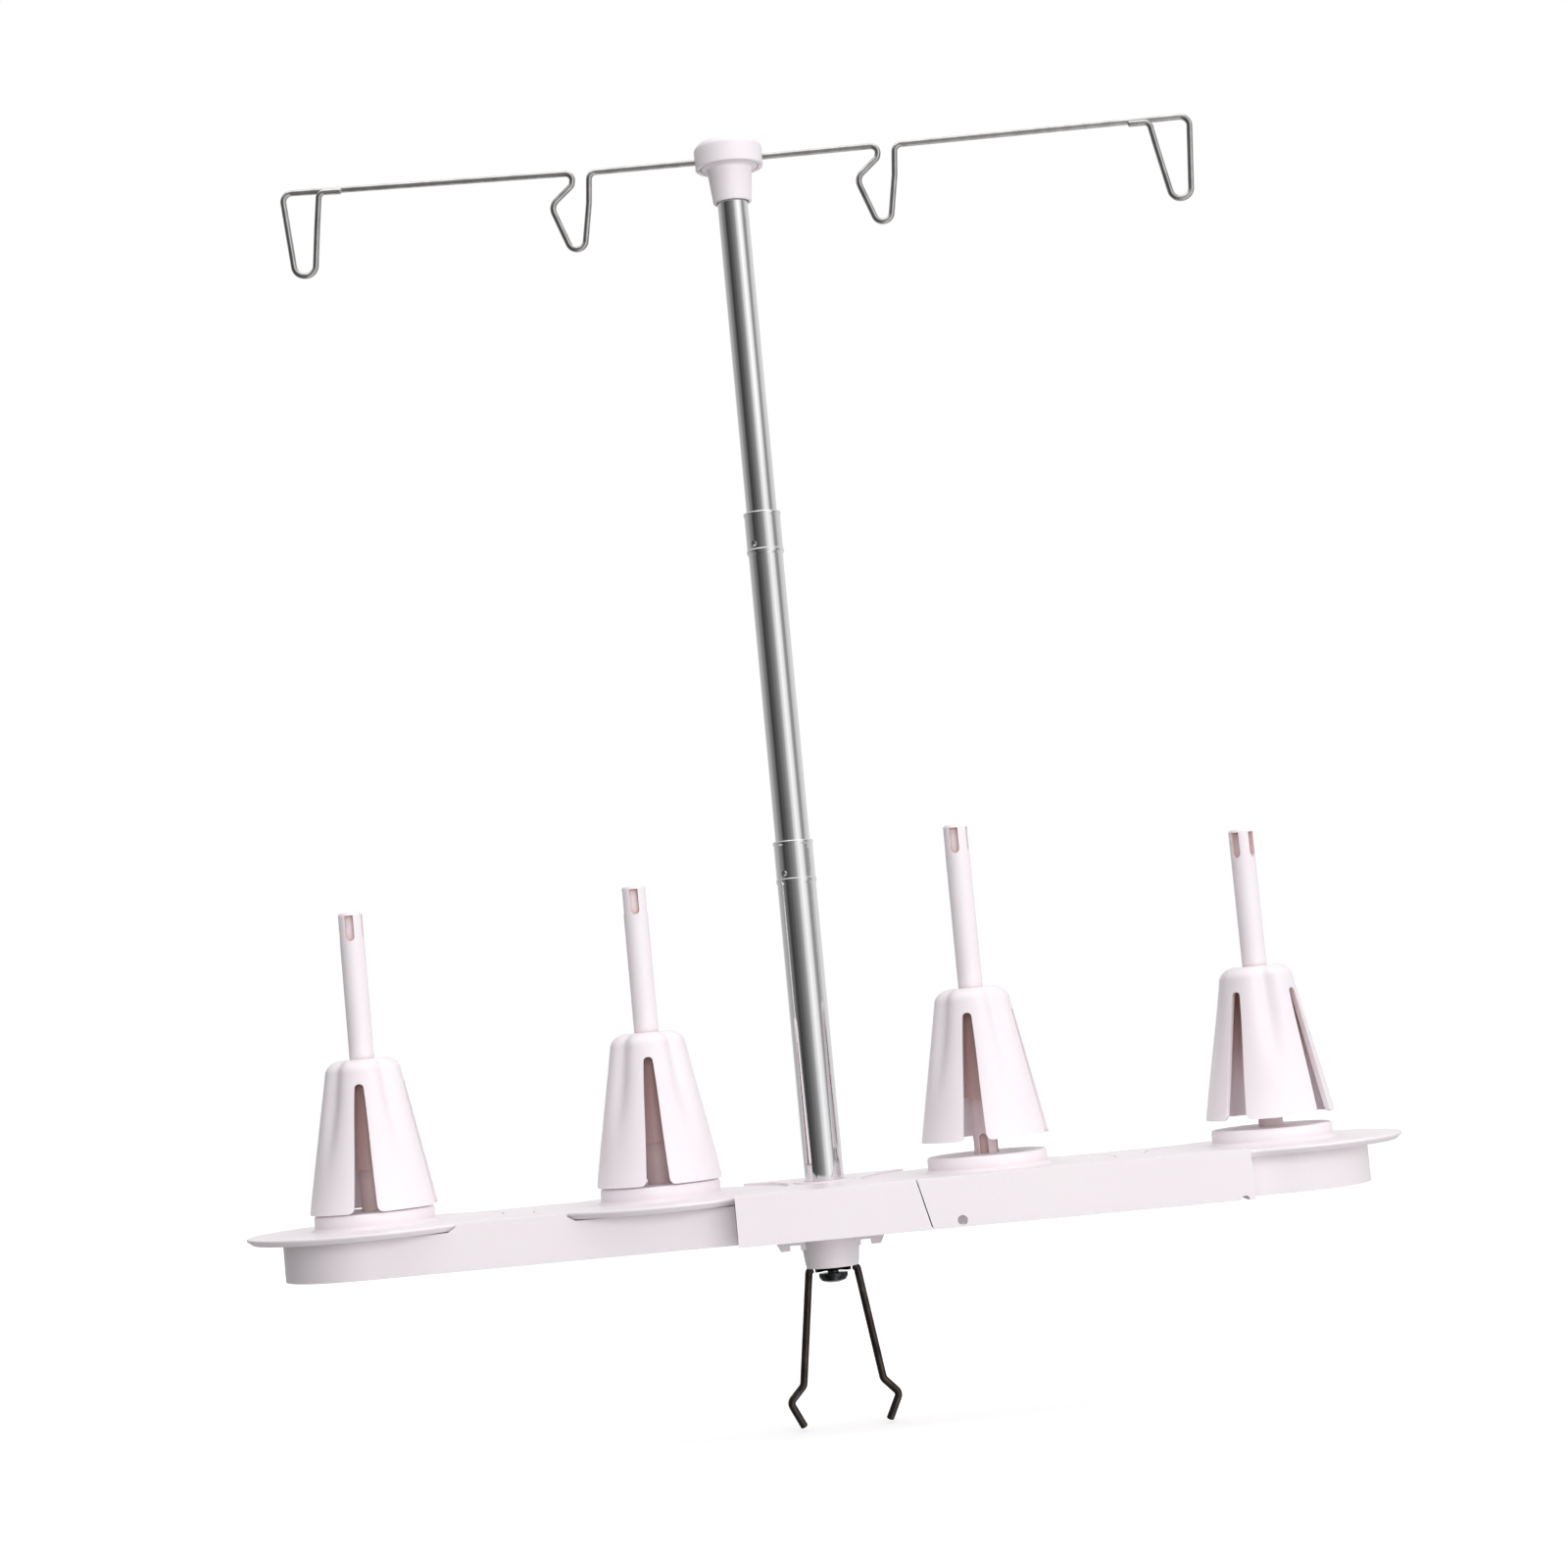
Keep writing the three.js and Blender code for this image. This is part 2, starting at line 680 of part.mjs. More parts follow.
// The hook between two pins: out at the top, back under, then down to a narrow foot and up again.
// Corners are [x from the foot, z from the bar, bend radius], from the left side to the right.
const HOOK = [
  [1.0, 0.2, 2.0],
  [0.2, -3.4, 1.6],
  [-6.4, -9.0, 3.4],
  [-1.3, -23.2, 2.6],
  [2.6, -21.8, 2.6],
  [4.8, -9, 6],
  [5.6, 0, 2.2],
];

// The loop at each end of the bar: down its outer side, round, up its inner side, and a short
// tail that lies along the front of the bar. Corners are [x outwards from the loop's middle,
// y, z from the bar, bend radius]; the left half of the bar is bent up a little.
const LOOPS = {
  left: [
    [4.7, 0, 2.0, 2.6],
    [2.7, 0, -22.5, 3.0],
    [-3.1, 0, -23.5, 3.0],
    [-4.9, -0.6, -9, 8],
    [-6.4, -1.9, 0.9, 1.8],
    [-13.1, -1.9, 0.7, 0],
  ],
  right: [
    [5.4, 0, 0.5, 2.6],
    [3.6, 0, -23.2, 3.0],
    [-1.8, 0, -24.2, 3.0],
    [-5.0, -0.6, -9, 8],
    [-6.8, -1.9, -0.8, 1.8],
    [-13.1, -1.9, -0.8, 0],
  ],
};

function guideWire(end) {
  const side = end === 'left' ? -1 : 1;
  const hook = HOOK.map(([x, z, radius]) => [GUIDE.hookX[end] + x, 0, GUIDE.barZ + z, radius]);
  const loop = LOOPS[end].map(
    ([x, y, z, radius]) => [GUIDE.loopX[end] + side * x, y, GUIDE.barZ + z, radius],
  );
  const corners = [
    [side * GUIDE.innerEndX, 0, GUIDE.barZ, 0],
    ...(side < 0 ? hook.reverse() : hook),
    ...loop,
  ];
  return sweep(roundedKnots(corners), GUIDE.wireRadius);
}

addPiece('guide_wire_left', guideWire('left'), guideSteel);
addPiece('guide_wire_right', guideWire('right'), guideSteel);

// ---------------------------------------------------------------- boss and machine clip

function mastBoss() {
  const bore = BLOCK.boreRadius;
  const floor = MAST.lower.bottom - GAP;
  const post = revolve([
    [SCREW.shankRadius + GAP, BOSS.bottom],
    [BOSS.bottomRadius, BOSS.bottom],
    [BOSS.topRadius, BOSS.top],
    [bore, BOSS.top],
    [bore, floor],
    [SCREW.shankRadius + GAP, floor],
    [SCREW.shankRadius + GAP, BOSS.bottom],
  ], 0, 32);
  const depth = BOSS.earHalfDepth;
  const bar = upright([
    [-BOSS.earHalfLength + BOSS.earSlope, BOSS.earBottom],
    [BOSS.earHalfLength - BOSS.earSlope, BOSS.earBottom],
    [BOSS.earHalfLength, BOSS.top],
    [-BOSS.earHalfLength, BOSS.top],
  ], -depth, depth);
  const [near, far] = BOSS.pocket;
  const pocketBottom = BOSS.earBottom - PAST;
  const ears = cut(bar, [
    box(-far, -near, -depth - PAST, depth + PAST, pocketBottom, BOSS.pocketTop),
    box(near, far, -depth - PAST, depth + PAST, pocketBottom, BOSS.pocketTop),
    cylinder(bore + BITE, pocketBottom, BOSS.top + PAST),
  ]);
  const groove = CLIP.wireRadius + GAP;
  const grooveEnd = BOSS.topRadius + PAST;
  const grooveBottom = BOSS.bottom - PAST;
  const grooveTop = BOSS.bottom + BOSS.recess;
  return cut(post.add(ears), [
    box(-grooveEnd, grooveEnd, -groove, groove, grooveBottom, grooveTop),
    cylinder(CLIP.bowRadius + CLIP.wireRadius + BITE, grooveBottom, grooveTop, 0, 0, 28),
  ]);
}

addPiece('mast_boss', mastBoss(), whitePlastic);

// The clip's crown bows round the screw, and each leg runs down from it to a barb.
function clipCrown() {
  const { crownEndX, crownZ, bowRadius } = CLIP;
  const straight = 0.6;
  const knots = [-crownEndX, -crownEndX + straight].map((x) => new THREE.Vector3(x, 0, crownZ));
  const steps = 12;
  for (let i = 0; i <= steps; i += 1) {
    const angle = THREE.MathUtils.degToRad(160 - (140 * i) / steps);
    const x = bowRadius * Math.cos(angle);
    const y = bowRadius * Math.sin(angle);
    knots.push(new THREE.Vector3(x * 1.15, y, crownZ));
  }
  for (const x of [crownEndX - straight, crownEndX]) knots.push(new THREE.Vector3(x, 0, crownZ));
  return sweep(knots, CLIP.wireRadius, 10);
}

function clipLeg(side) {
  const corners = [
    [CLIP.legTopX, CLIP.crownZ, 0],
    [...CLIP.shoulder, 0.5],
    [...CLIP.knee, 2.4],
    [...CLIP.barb, 1.8],
    [...CLIP.tip, 0],
  ].map(([x, z, radius]) => [side * x, 0, z, radius]);
  return sweep(roundedKnots(corners), CLIP.wireRadius, 10);
}

addPiece('clip_crown', clipCrown(), springSteel);
addPiece('clip_leg_left', clipLeg(-1), springSteel);
addPiece('clip_leg_right', clipLeg(1), springSteel);

addPiece('clip_screw', revolve([
  [0, SCREW.headBottom],
  [SCREW.headRadius * 0.6, SCREW.headBottom],
  [SCREW.headRadius * 0.9, SCREW.headBottom + 0.6],
  [SCREW.headRadius, SCREW.headBottom + 1.5],
  [SCREW.headRadius, SCREW.headTop],
  [SCREW.shankRadius, SCREW.headTop],
  [SCREW.shankRadius, SCREW.tip - 0.8],
  [0, SCREW.tip],
], 0, 28), blackScrew);

export default stand;
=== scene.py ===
import json
import math

import bmesh
import bpy
from mathutils import Matrix, Vector


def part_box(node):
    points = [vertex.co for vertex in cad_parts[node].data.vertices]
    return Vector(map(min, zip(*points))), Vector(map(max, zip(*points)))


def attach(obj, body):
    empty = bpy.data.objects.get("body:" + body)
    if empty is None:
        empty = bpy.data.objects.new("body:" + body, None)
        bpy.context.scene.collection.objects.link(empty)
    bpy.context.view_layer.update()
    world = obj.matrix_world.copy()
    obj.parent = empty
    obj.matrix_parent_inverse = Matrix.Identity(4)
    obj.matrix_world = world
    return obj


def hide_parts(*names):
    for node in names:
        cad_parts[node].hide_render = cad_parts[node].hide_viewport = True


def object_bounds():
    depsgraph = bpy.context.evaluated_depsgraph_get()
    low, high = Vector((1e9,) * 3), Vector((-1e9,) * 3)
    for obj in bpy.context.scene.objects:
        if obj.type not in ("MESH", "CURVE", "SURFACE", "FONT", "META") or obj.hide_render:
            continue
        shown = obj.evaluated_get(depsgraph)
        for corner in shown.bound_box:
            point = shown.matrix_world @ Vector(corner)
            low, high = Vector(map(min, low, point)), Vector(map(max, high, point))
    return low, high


# Spool holder stand. Each piece here stands for one CAD node, in finer shape.
# Lengths are millimetres in the frame's axes (+Z up the mast, +X along the base, -Y the
# front) and become metres as a mesh is made.

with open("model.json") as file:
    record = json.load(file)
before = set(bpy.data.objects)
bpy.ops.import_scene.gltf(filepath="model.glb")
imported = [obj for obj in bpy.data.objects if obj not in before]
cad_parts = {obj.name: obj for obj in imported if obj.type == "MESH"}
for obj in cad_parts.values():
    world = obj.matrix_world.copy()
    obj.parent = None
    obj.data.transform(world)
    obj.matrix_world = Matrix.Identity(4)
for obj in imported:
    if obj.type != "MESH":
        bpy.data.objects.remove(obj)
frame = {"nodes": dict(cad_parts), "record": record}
cad_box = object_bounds()

MM = 0.001
FRONT = -90  # turns are measured from the front (-Y) towards +X
STRAIGHT = 0.01  # a corner that turns by less than this, in radians, needs no arc
WELD = 2e-6  # points nearer than this, in metres, are one point


def span(node):
    """Lowest and highest corner of a CAD node, in millimetres."""
    low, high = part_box(node)
    return Vector(low) / MM, Vector(high) / MM


# ---------------------------------------------------------------- mesh helpers


def arc_at(corner, before, after, radius, steps):
    """Points of the arc that rounds a corner between its two neighbours; none if it is straight."""
    back = (before - corner).normalized()
    ahead = (after - corner).normalized()
    half = back.angle(ahead) / 2
    sweep = math.pi - 2 * half
    if sweep < STRAIGHT:
        return []
    centre = corner + (back + ahead).normalized() * radius / math.sin(half)
    first = corner + back * radius / math.tan(half) - centre
    last = corner + ahead * radius / math.tan(half) - centre
    points = []
    for k in range(steps + 1):
        t = k / steps
        first_share = math.sin((1 - t) * sweep) / math.sin(sweep)
        last_share = math.sin(t * sweep) / math.sin(sweep)
        points.append(centre + first * first_share + last * last_share)
    return points


def filleted(corners, closed=False, steps=5):
    """Corners are (a, b) or (a, b, radius); a corner with a radius becomes an arc."""
    count = len(corners)
    places = [Vector(corner[:2]) for corner in corners]
    points = []
    for i, corner in enumerate(corners):
        radius = corner[2] if len(corner) > 2 else 0
        arc = []
        if radius > 0 and (closed or 0 < i < count - 1):
            arc = arc_at(places[i], places[i - 1], places[(i + 1) % count], radius, steps)
        points += arc or [places[i]]
    return points


def skin(bm, rings, wrap=True, loop=False):
    """Quads between rings of points; wrap closes each ring, loop joins the last to the first."""
    rows = [[bm.verts.new(Vector(p) * MM) for p in ring] for ring in rings]
    pairs = list(zip(rows, rows[1:]))
    if loop:
        pairs.append((rows[-1], rows[0]))
    for lower, upper in pairs:
        count = len(lower)
        for i in range(count if wrap else count - 1):
            j = (i + 1) % count
            bm.faces.new((lower[i], lower[j], upper[j], upper[i]))
    return rows


def lathe(profile, x=0.0, sides=96, bump=None):
    """A profile of (radius, z) points turned about the upright through x.

    bump(turn, radius, z) may add to the radius; turn is in degrees from the front.
    """
    bm = bmesh.new()
    rings = []
    for radius, z in profile:
        ring = []
        for i in range(sides):
            turn = 360 * i / sides
            r = radius + (bump(turn, radius, z) if bump and radius > 0 else 0)
            angle = math.radians(turn + FRONT)
            ring.append((x + r * math.cos(angle), r * math.sin(angle), z))
        rings.append(ring)
    on_axis = profile[0][0] == 0 and profile[-1][0] == 0
    skin(bm, rings, loop=not on_axis)
    return bm


def ball_ended(path, radius, sides=16, crown=0.55):
    """A wire of round section along a path, with softly domed ends."""
    points = [Vector(p) for p in path]
    tangents = []
    for i in range(len(points)):
        ahead = points[min(i + 1, len(points) - 1)] - points[max(i - 1, 0)]
        tangents.append(ahead.normalized())
    side = tangents[0].orthogonal().normalized()
    rings = []

    def ring(centre, tangent, size):
        other = tangent.cross(side)
        rings.append([
            centre + (side * math.cos(a) + other * math.sin(a)) * size
            for a in (2 * math.pi * k / sides for k in range(sides))
        ])

    dome = [(0.0, 0.0), (0.55, 0.16), (0.85, 0.47), (1.0, 1.0)]  # share of radius, of crown
    for i, (point, tangent) in enumerate(zip(points, tangents)):
        side = (side - tangent * side.dot(tangent)).normalized()
        if i == 0:
            for size, inset in dome[:-1]:
                ring(point + tangent * radius * crown * inset, tangent, radius * size)
            ring(point + tangent * radius * crown, tangent, radius)
        elif i == len(points) - 1:
            ring(point - tangent * radius * crown, tangent, radius)
            for size, inset in dome[-2::-1]:
                ring(point - tangent * radius * crown * inset, tangent, radius * size)
        else:
            ring(point, tangent, radius)
    bm = bmesh.new()
    skin(bm, rings)
    return bm


def bent_path(corners, arc_steps=8, straight=6.0):
    """Points along straight runs between (x, y, z, bend radius) corners, each bend an arc."""
    places = [Vector(corner[:3]) for corner in corners]
    knots = [places[0]]
    for i in range(1, len(corners) - 1):
        radius = corners[i][3]
        arc = []
        if radius > 0:
            arc = arc_at(places[i], places[i - 1], places[i + 1], radius, arc_steps)
        knots += arc or [places[i]]
    knots.append(places[-1])
    path = [knots[0]]
    for point in knots[1:]:
        start = path[-1]
        pieces = max(1, int((point - start).length / straight))
        path += [start.lerp(point, k / pieces) for k in range(1, pieces + 1)]
    return path


def block_mesh(low, high):
    """A plain box between two corners, used as a cutter."""
    bm = bmesh.new()
    bmesh.ops.create_cube(bm, size=1)
    low, high = Vector(low) * MM, Vector(high) * MM
    for vert in bm.verts:
        vert.co = Vector(high[i] if vert.co[i] > 0 else low[i] for i in range(3))
    return bm


def placed(name, data):
    """A new object in the scene."""
    holder = bpy.data.objects.new(name, data)
    bpy.context.scene.collection.objects.link(holder)
    return holder


def temporary(bm, name):
    """An object that holds bm for a modifier, and is removed after it."""
    mesh = bpy.data.meshes.new(name)
    bmesh.ops.remove_doubles(bm, verts=bm.verts, dist=1e-6)
    bmesh.ops.recalc_face_normals(bm, faces=bm.faces)
    bm.to_mesh(mesh)
    bm.free()
    return placed(name, mesh)


def carved(bm, cutters):
    """bm with each closed mesh in cutters cut away."""
    whole = temporary(bm, "whole")
    tools = [temporary(cutter, "cutter") for cutter in cutters]
    for tool in tools:
        cut = whole.modifiers.new("cut", "BOOLEAN")
        cut.operation = "DIFFERENCE"
        cut.solver = "EXACT"
        cut.object = tool
    bpy.context.view_layer.update()
    result = bmesh.new()
    result.from_object(whole, bpy.context.evaluated_depsgraph_get())
    for holder in [whole, *tools]:
        mesh = holder.data
        bpy.data.objects.remove(holder)
        bpy.data.meshes.remove(mesh)
    return result


def soften(bm, width, limit=40, segments=2):
    """Rounds every edge where the faces turn by more than limit degrees."""
    bmesh.ops.remove_doubles(bm, verts=bm.verts, dist=WELD)
    bmesh.ops.recalc_face_normals(bm, faces=bm.faces)
    sharp = [
        edge for edge in bm.edges
        if len(edge.link_faces) == 2
        and edge.calc_face_angle(0) > math.radians(limit)
    ]
    bmesh.ops.bevel(
        bm, geom=sharp, offset=width * MM, offset_type="OFFSET", segments=segments,
        profile=0.5, affect="EDGES", clamp_overlap=True,
    )
    return bm


def from_cad(node, width, limit=30, segments=3):
    """A CAD node's shape with its flat faces whole again and its edges rounded."""
    bm = bmesh.new()
    bm.from_mesh(frame["nodes"][node].data)
    bmesh.ops.remove_doubles(bm, verts=bm.verts, dist=WELD)
    bmesh.ops.dissolve_limit(
        bm, angle_limit=math.radians(0.5), verts=bm.verts, edges=bm.edges,
    )
    return soften(bm, width, limit, segments)


# ---------------------------------------------------------------- materials


class Finish:
    """A node material built round one Principled shader."""

    def __init__(self, name, **inputs):
        self.material = bpy.data.materials.new(name)
        self.material.use_nodes = True
        self.tree = self.material.node_tree
        self.shader = self.tree.nodes["Principled BSDF"]
        for label, value in inputs.items():
            self.shader.inputs[label.replace("_", " ")].default_value = value
        self.place = self.add("ShaderNodeTexCoord").outputs["Object"]

    def add(self, kind, **settings):
        node = self.tree.nodes.new(kind)
        for key, value in settings.items():
            setattr(node, key, value)
        return node

    def link(self, source, target):
        self.tree.links.new(source, target)

    def noise(self, scale, detail=3.0, stretch=(1, 1, 1), rough=0.5):
        """Noise in the piece's own metres, drawn out along an axis by a small stretch."""
        mapping = self.add("ShaderNodeMapping")
        mapping.inputs["Scale"].default_value = stretch
        self.link(self.place, mapping.inputs["Vector"])
        node = self.add("ShaderNodeTexNoise")
        node.inputs["Scale"].default_value = scale
        node.inputs["Detail"].default_value = detail
        node.inputs["Roughness"].default_value = rough
        self.link(mapping.outputs["Vector"], node.inputs["Vector"])
        return node.outputs["Fac"]

    def spread(self, value, low, high, start=0.3, end=0.7):
        """Maps start..end of a value to low..high."""
        node = self.add("ShaderNodeMapRange")
        node.inputs["From Min"].default_value = start
        node.inputs["From Max"].default_value = end
        node.inputs["To Min"].default_value = low
        node.inputs["To Max"].default_value = high
        self.link(value, node.inputs["Value"])
        return node.outputs["Result"]

    def colours(self, value, stops):
        node = self.add("ShaderNodeValToRGB")
        ramp = node.color_ramp
        while len(ramp.elements) < len(stops):
            ramp.elements.new(0.5)
        for element, (place, colour) in zip(ramp.elements, stops):
            element.position = place
            element.color = (*colour, 1)
        self.link(value, node.inputs["Fac"])
        return node.outputs["Color"]

    def mixed(self, value, first, second):
        """The first colour where the value is 0, the second where it is 1."""
        node = self.add("ShaderNodeMix", data_type="RGBA")
        self.link(value, node.inputs["Factor"])
        for colour, socket in ((first, node.inputs[6]), (second, node.inputs[7])):
            if isinstance(colour, tuple):
                socket.default_value = (*colour, 1)
            else:
                self.link(colour, socket)
        return node.outputs[2]

    def times(self, first, second):
        node = self.add("ShaderNodeMath", operation="MULTIPLY")
        for value, socket in zip((first, second), node.inputs):
            if isinstance(value, (int, float)):
                socket.default_value = value
            else:
                self.link(value, socket)
        return node.outputs[0]

    def plus(self, first, second):
        node = self.add("ShaderNodeMath", operation="ADD")
        self.link(first, node.inputs[0])
        self.link(second, node.inputs[1])
        return node.outputs[0]

    def bumped(self, height, distance, strength=1.0):
        node = self.add("ShaderNodeBump")
        node.inputs["Strength"].default_value = strength
        node.inputs["Distance"].default_value = distance * MM
        self.link(height, node.inputs["Height"])
        self.link(node.outputs["Normal"], self.shader.inputs["Normal"])

    def painted_hollow_shade(self, reach, own=True):
        """Painted shade for the base colour: 0 deep in a slot and 1 in the open, from occlusion;
        unless own, other pieces also close a slot.
        """
        node = self.add("ShaderNodeAmbientOcclusion", samples=8, only_local=own)
        node.inputs["Distance"].default_value = reach * MM
        return self.spread(node.outputs["AO"], 0.0, 1.0, 0.34, 0.66)

    def set(self, label, value):
        self.link(value, self.shader.inputs[label])


def moulded(name, shade_reach, painted_shade_tint, glow, own=True):
    """Moulded ABS: faint cloudiness, a spark-eroded skin and light handling wear, with shade
    painted into its colour in slots and recesses.
    """
    finish = Finish(
        name, Metallic=0.0, IOR=1.5, Subsurface_Weight=glow,
        Subsurface_Scale=0.0012, Specular_IOR_Level=0.45,
    )
    finish.shader.inputs["Subsurface Radius"].default_value = (1.0, 0.55, 0.5)
    cloud = finish.noise(22, 4)
    speck = finish.noise(900, 2)
    tint = finish.colours(cloud, [
        (0.30, (0.868, 0.806, 0.842)),
        (0.52, (0.885, 0.826, 0.860)),
        (0.74, (0.898, 0.846, 0.872)),
    ])
    dust = finish.spread(speck, 0.0, 0.10, 0.62, 0.78)
    dusted = finish.mixed(dust, tint, (0.78, 0.72, 0.72))
    # Painted shade: deep in slots and recesses, found by occlusion, the colour turns to the shade
    # tint.
    finish.set("Base Color", finish.mixed(
        finish.painted_hollow_shade(shade_reach, own), painted_shade_tint, dusted))
    scuffs = finish.noise(60, 5, (1, 1, 6), 0.7)
    finish.set("Roughness", finish.plus(
        finish.spread(cloud, 0.30, 0.40), finish.spread(scuffs, 0.0, 0.09, 0.5, 0.75)))
    grain = finish.noise(4200, 2)
    swirl = finish.noise(160, 2)
    height = finish.plus(finish.times(grain, 0.35), finish.times(swirl, 1.0))
    finish.bumped(height, 0.02, 0.5)
    return finish.material


def white_plastic():
    """The base, seats, boss and hub: thick enough to look solid."""
    # (0.70, 0.52, 0.52) is the painted shade colour in its recesses.
    return moulded("white_plastic", 7, (0.70, 0.52, 0.52), 0.12)


def thin_plastic():
    """The cone holders: the same plastic, thin enough for a little warm subsurface glow, with
    deeper warm shade painted inside their slots.
    """
    # (0.58, 0.38, 0.36) is the painted shade colour inside the slots.
    return moulded("thin_plastic", 16, (0.58, 0.38, 0.36), 0.16)


def pin_plastic():
    """The pins: warm shade painted where the cones close round them."""
    # (0.66, 0.47, 0.46) is the painted shade colour; other pieces count, so the cones shade the
    # pins.
    return moulded("pin_plastic", 14, (0.66, 0.47, 0.46), 0.12, own=False)


def chrome():
    """Plated drawn tube: near mirror, with drawing lines, slide marks and faint haze."""
    finish = Finish("chrome", Metallic=1.0, Anisotropic=0.15)
    lines = finish.noise(1500, 3, (1, 1, 0.012))
    haze = finish.noise(70, 4, (1, 1, 0.5))
    rubs = finish.noise(420, 3, (1, 1, 0.05), 0.65)
    tint = finish.colours(haze, [
        (0.3, (0.80, 0.80, 0.815)),
        (0.7, (0.86, 0.855, 0.86)),
    ])
    finish.set("Base Color", tint)
    finish.set("Roughness", finish.plus(
        finish.spread(haze, 0.05, 0.09), finish.spread(rubs, 0.0, 0.07, 0.52, 0.75)))
    finish.bumped(lines, 0.006, 0.35)
    return finish.material


def guide_steel():
    """Bright drawn wire: fine lengthwise lines, a little tarnish at random."""
    finish = Finish("guide_steel", Metallic=1.0)
    lines = finish.noise(2600, 3, (0.03, 1, 1))
    tarnish = finish.noise(240, 5, (1, 1, 1), 0.6)
    tint = finish.colours(tarnish, [
        (0.30, (0.40, 0.385, 0.375)),
        (0.52, (0.52, 0.505, 0.495)),
        (0.75, (0.62, 0.610, 0.600)),
    ])
    finish.set("Base Color", tint)
    finish.set("Roughness", finish.spread(tarnish, 0.26, 0.16))
    finish.bumped(finish.plus(lines, finish.times(tarnish, 0.8)), 0.004, 0.4)
    return finish.material


def spring_steel():
    """Blackened spring wire: a brown-black oxide coat, rubbed thin here and there."""
    finish = Finish("spring_steel", Metallic=1.0)
    coat = finish.noise(330, 5, (1, 1, 0.6), 0.62)
    grain = finish.noise(2800, 3, (1, 1, 0.08))
    tint = finish.colours(coat, [
        (0.30, (0.050, 0.040, 0.034)),
        (0.55, (0.092, 0.076, 0.066)),
        (0.72, (0.200, 0.176, 0.158)),
    ])
    finish.set("Base Color", tint)
    finish.set("Roughness", finish.spread(coat, 0.46, 0.26))
    finish.bumped(finish.plus(grain, coat), 0.02, 0.5)
    return finish.material


def black_screw():
    """Black zinc plate: glossy, slightly uneven, a touch bright where a driver has been."""
    finish = Finish("black_screw", Metallic=1.0, Coat_Weight=0.4, Coat_Roughness=0.08)
    blotch = finish.noise(700, 4, (1, 1, 1), 0.6)
    tint = finish.colours(blotch, [
        (0.35, (0.030, 0.030, 0.034)),
        (0.60, (0.058, 0.057, 0.062)),
        (0.80, (0.130, 0.128, 0.132)),
    ])
    finish.set("Base Color", tint)
    finish.set("Roughness", finish.spread(blotch, 0.14, 0.28))
    finish.bumped(finish.noise(1800, 3), 0.01, 0.5)
    return finish.material


def nylon():
    """Natural nylon: milky, matt, rubbed smoother where it slides."""
    finish = Finish("nylon", Metallic=0.0, IOR=1.53, Subsurface_Weight=0.3,
                    Subsurface_Scale=0.002)
    milk = finish.noise(120, 4)
    rubbed = finish.noise(500, 4, (1, 1, 0.1))
    tint = finish.colours(milk, [
        (0.3, (0.74, 0.72, 0.66)),
        (0.7, (0.82, 0.80, 0.75)),
    ])
    finish.set("Base Color", tint)
    finish.set("Roughness", finish.spread(rubbed, 0.42, 0.62))
    finish.bumped(rubbed, 0.02, 0.6)
    return finish.material


MATERIALS = {
    make.__name__: make()
    for make in (white_plastic, thin_plastic, pin_plastic, chrome, guide_steel,
                 spring_steel, black_screw, nylon)
}


# ---------------------------------------------------------------- pieces on the frame

SLOT_OF = {
    part["node"]: part["material_slot"] for part in frame["record"]["subparts"]
}
BODY_OF = {
    node: body
    for body, nodes in frame["record"]["behaviour"]["bodies"].items()
    for node in nodes
}


def publish(name, bm, node, crease=38, finish=None):
    """Makes a piece of bm that stands for a CAD node, on its body and in its material."""
    bmesh.ops.remove_doubles(bm, verts=bm.verts, dist=1.5e-6)
    bmesh.ops.recalc_face_normals(bm, faces=bm.faces)
    mesh = bpy.data.meshes.new(name)
    bm.to_mesh(mesh)
    bm.free()
    mesh.polygons.foreach_set("use_smooth", [True] * len(mesh.polygons))
    mesh.set_sharp_from_angle(angle=math.radians(crease))
    mesh.materials.append(MATERIALS[finish or SLOT_OF[node]])
    piece = placed(name, mesh)
    weighted = piece.modifiers.new("weighted_normals", "WEIGHTED_NORMAL")
    weighted.keep_sharp = True
    weighted.weight = 100
    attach(piece, BODY_OF[node])
    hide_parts(node)
    return piece


# ---------------------------------------------------------------- base

publish("left_arm_shell", from_cad("left_arm", 0.45), "left_arm")
publish("right_arm_shell", from_cad("right_arm", 0.45), "right_arm")
publish("centre_housing", from_cad("centre_block", 0.35), "centre_block")
publish("front_cover", from_cad("right_fascia", 0.35), "right_fascia")
publish("boss_moulding", from_cad("mast_boss", 0.3), "mast_boss")

# ---------------------------------------------------------------- spool seats

DISC_THICK = 2.0
RIM_SLOPE = 1.6
RIM_FLAT = 0.7
RING_RADIUS = 17.2
RING_HEIGHT = 4.5
RING_FOOT = (1.1, 0.9)  # how far the fillet at the ring's foot runs out, and up
SOCKET_RADIUS = 3.8
SOCKET_FLOOR = 5.7
STEM_RADIUS = 5.7


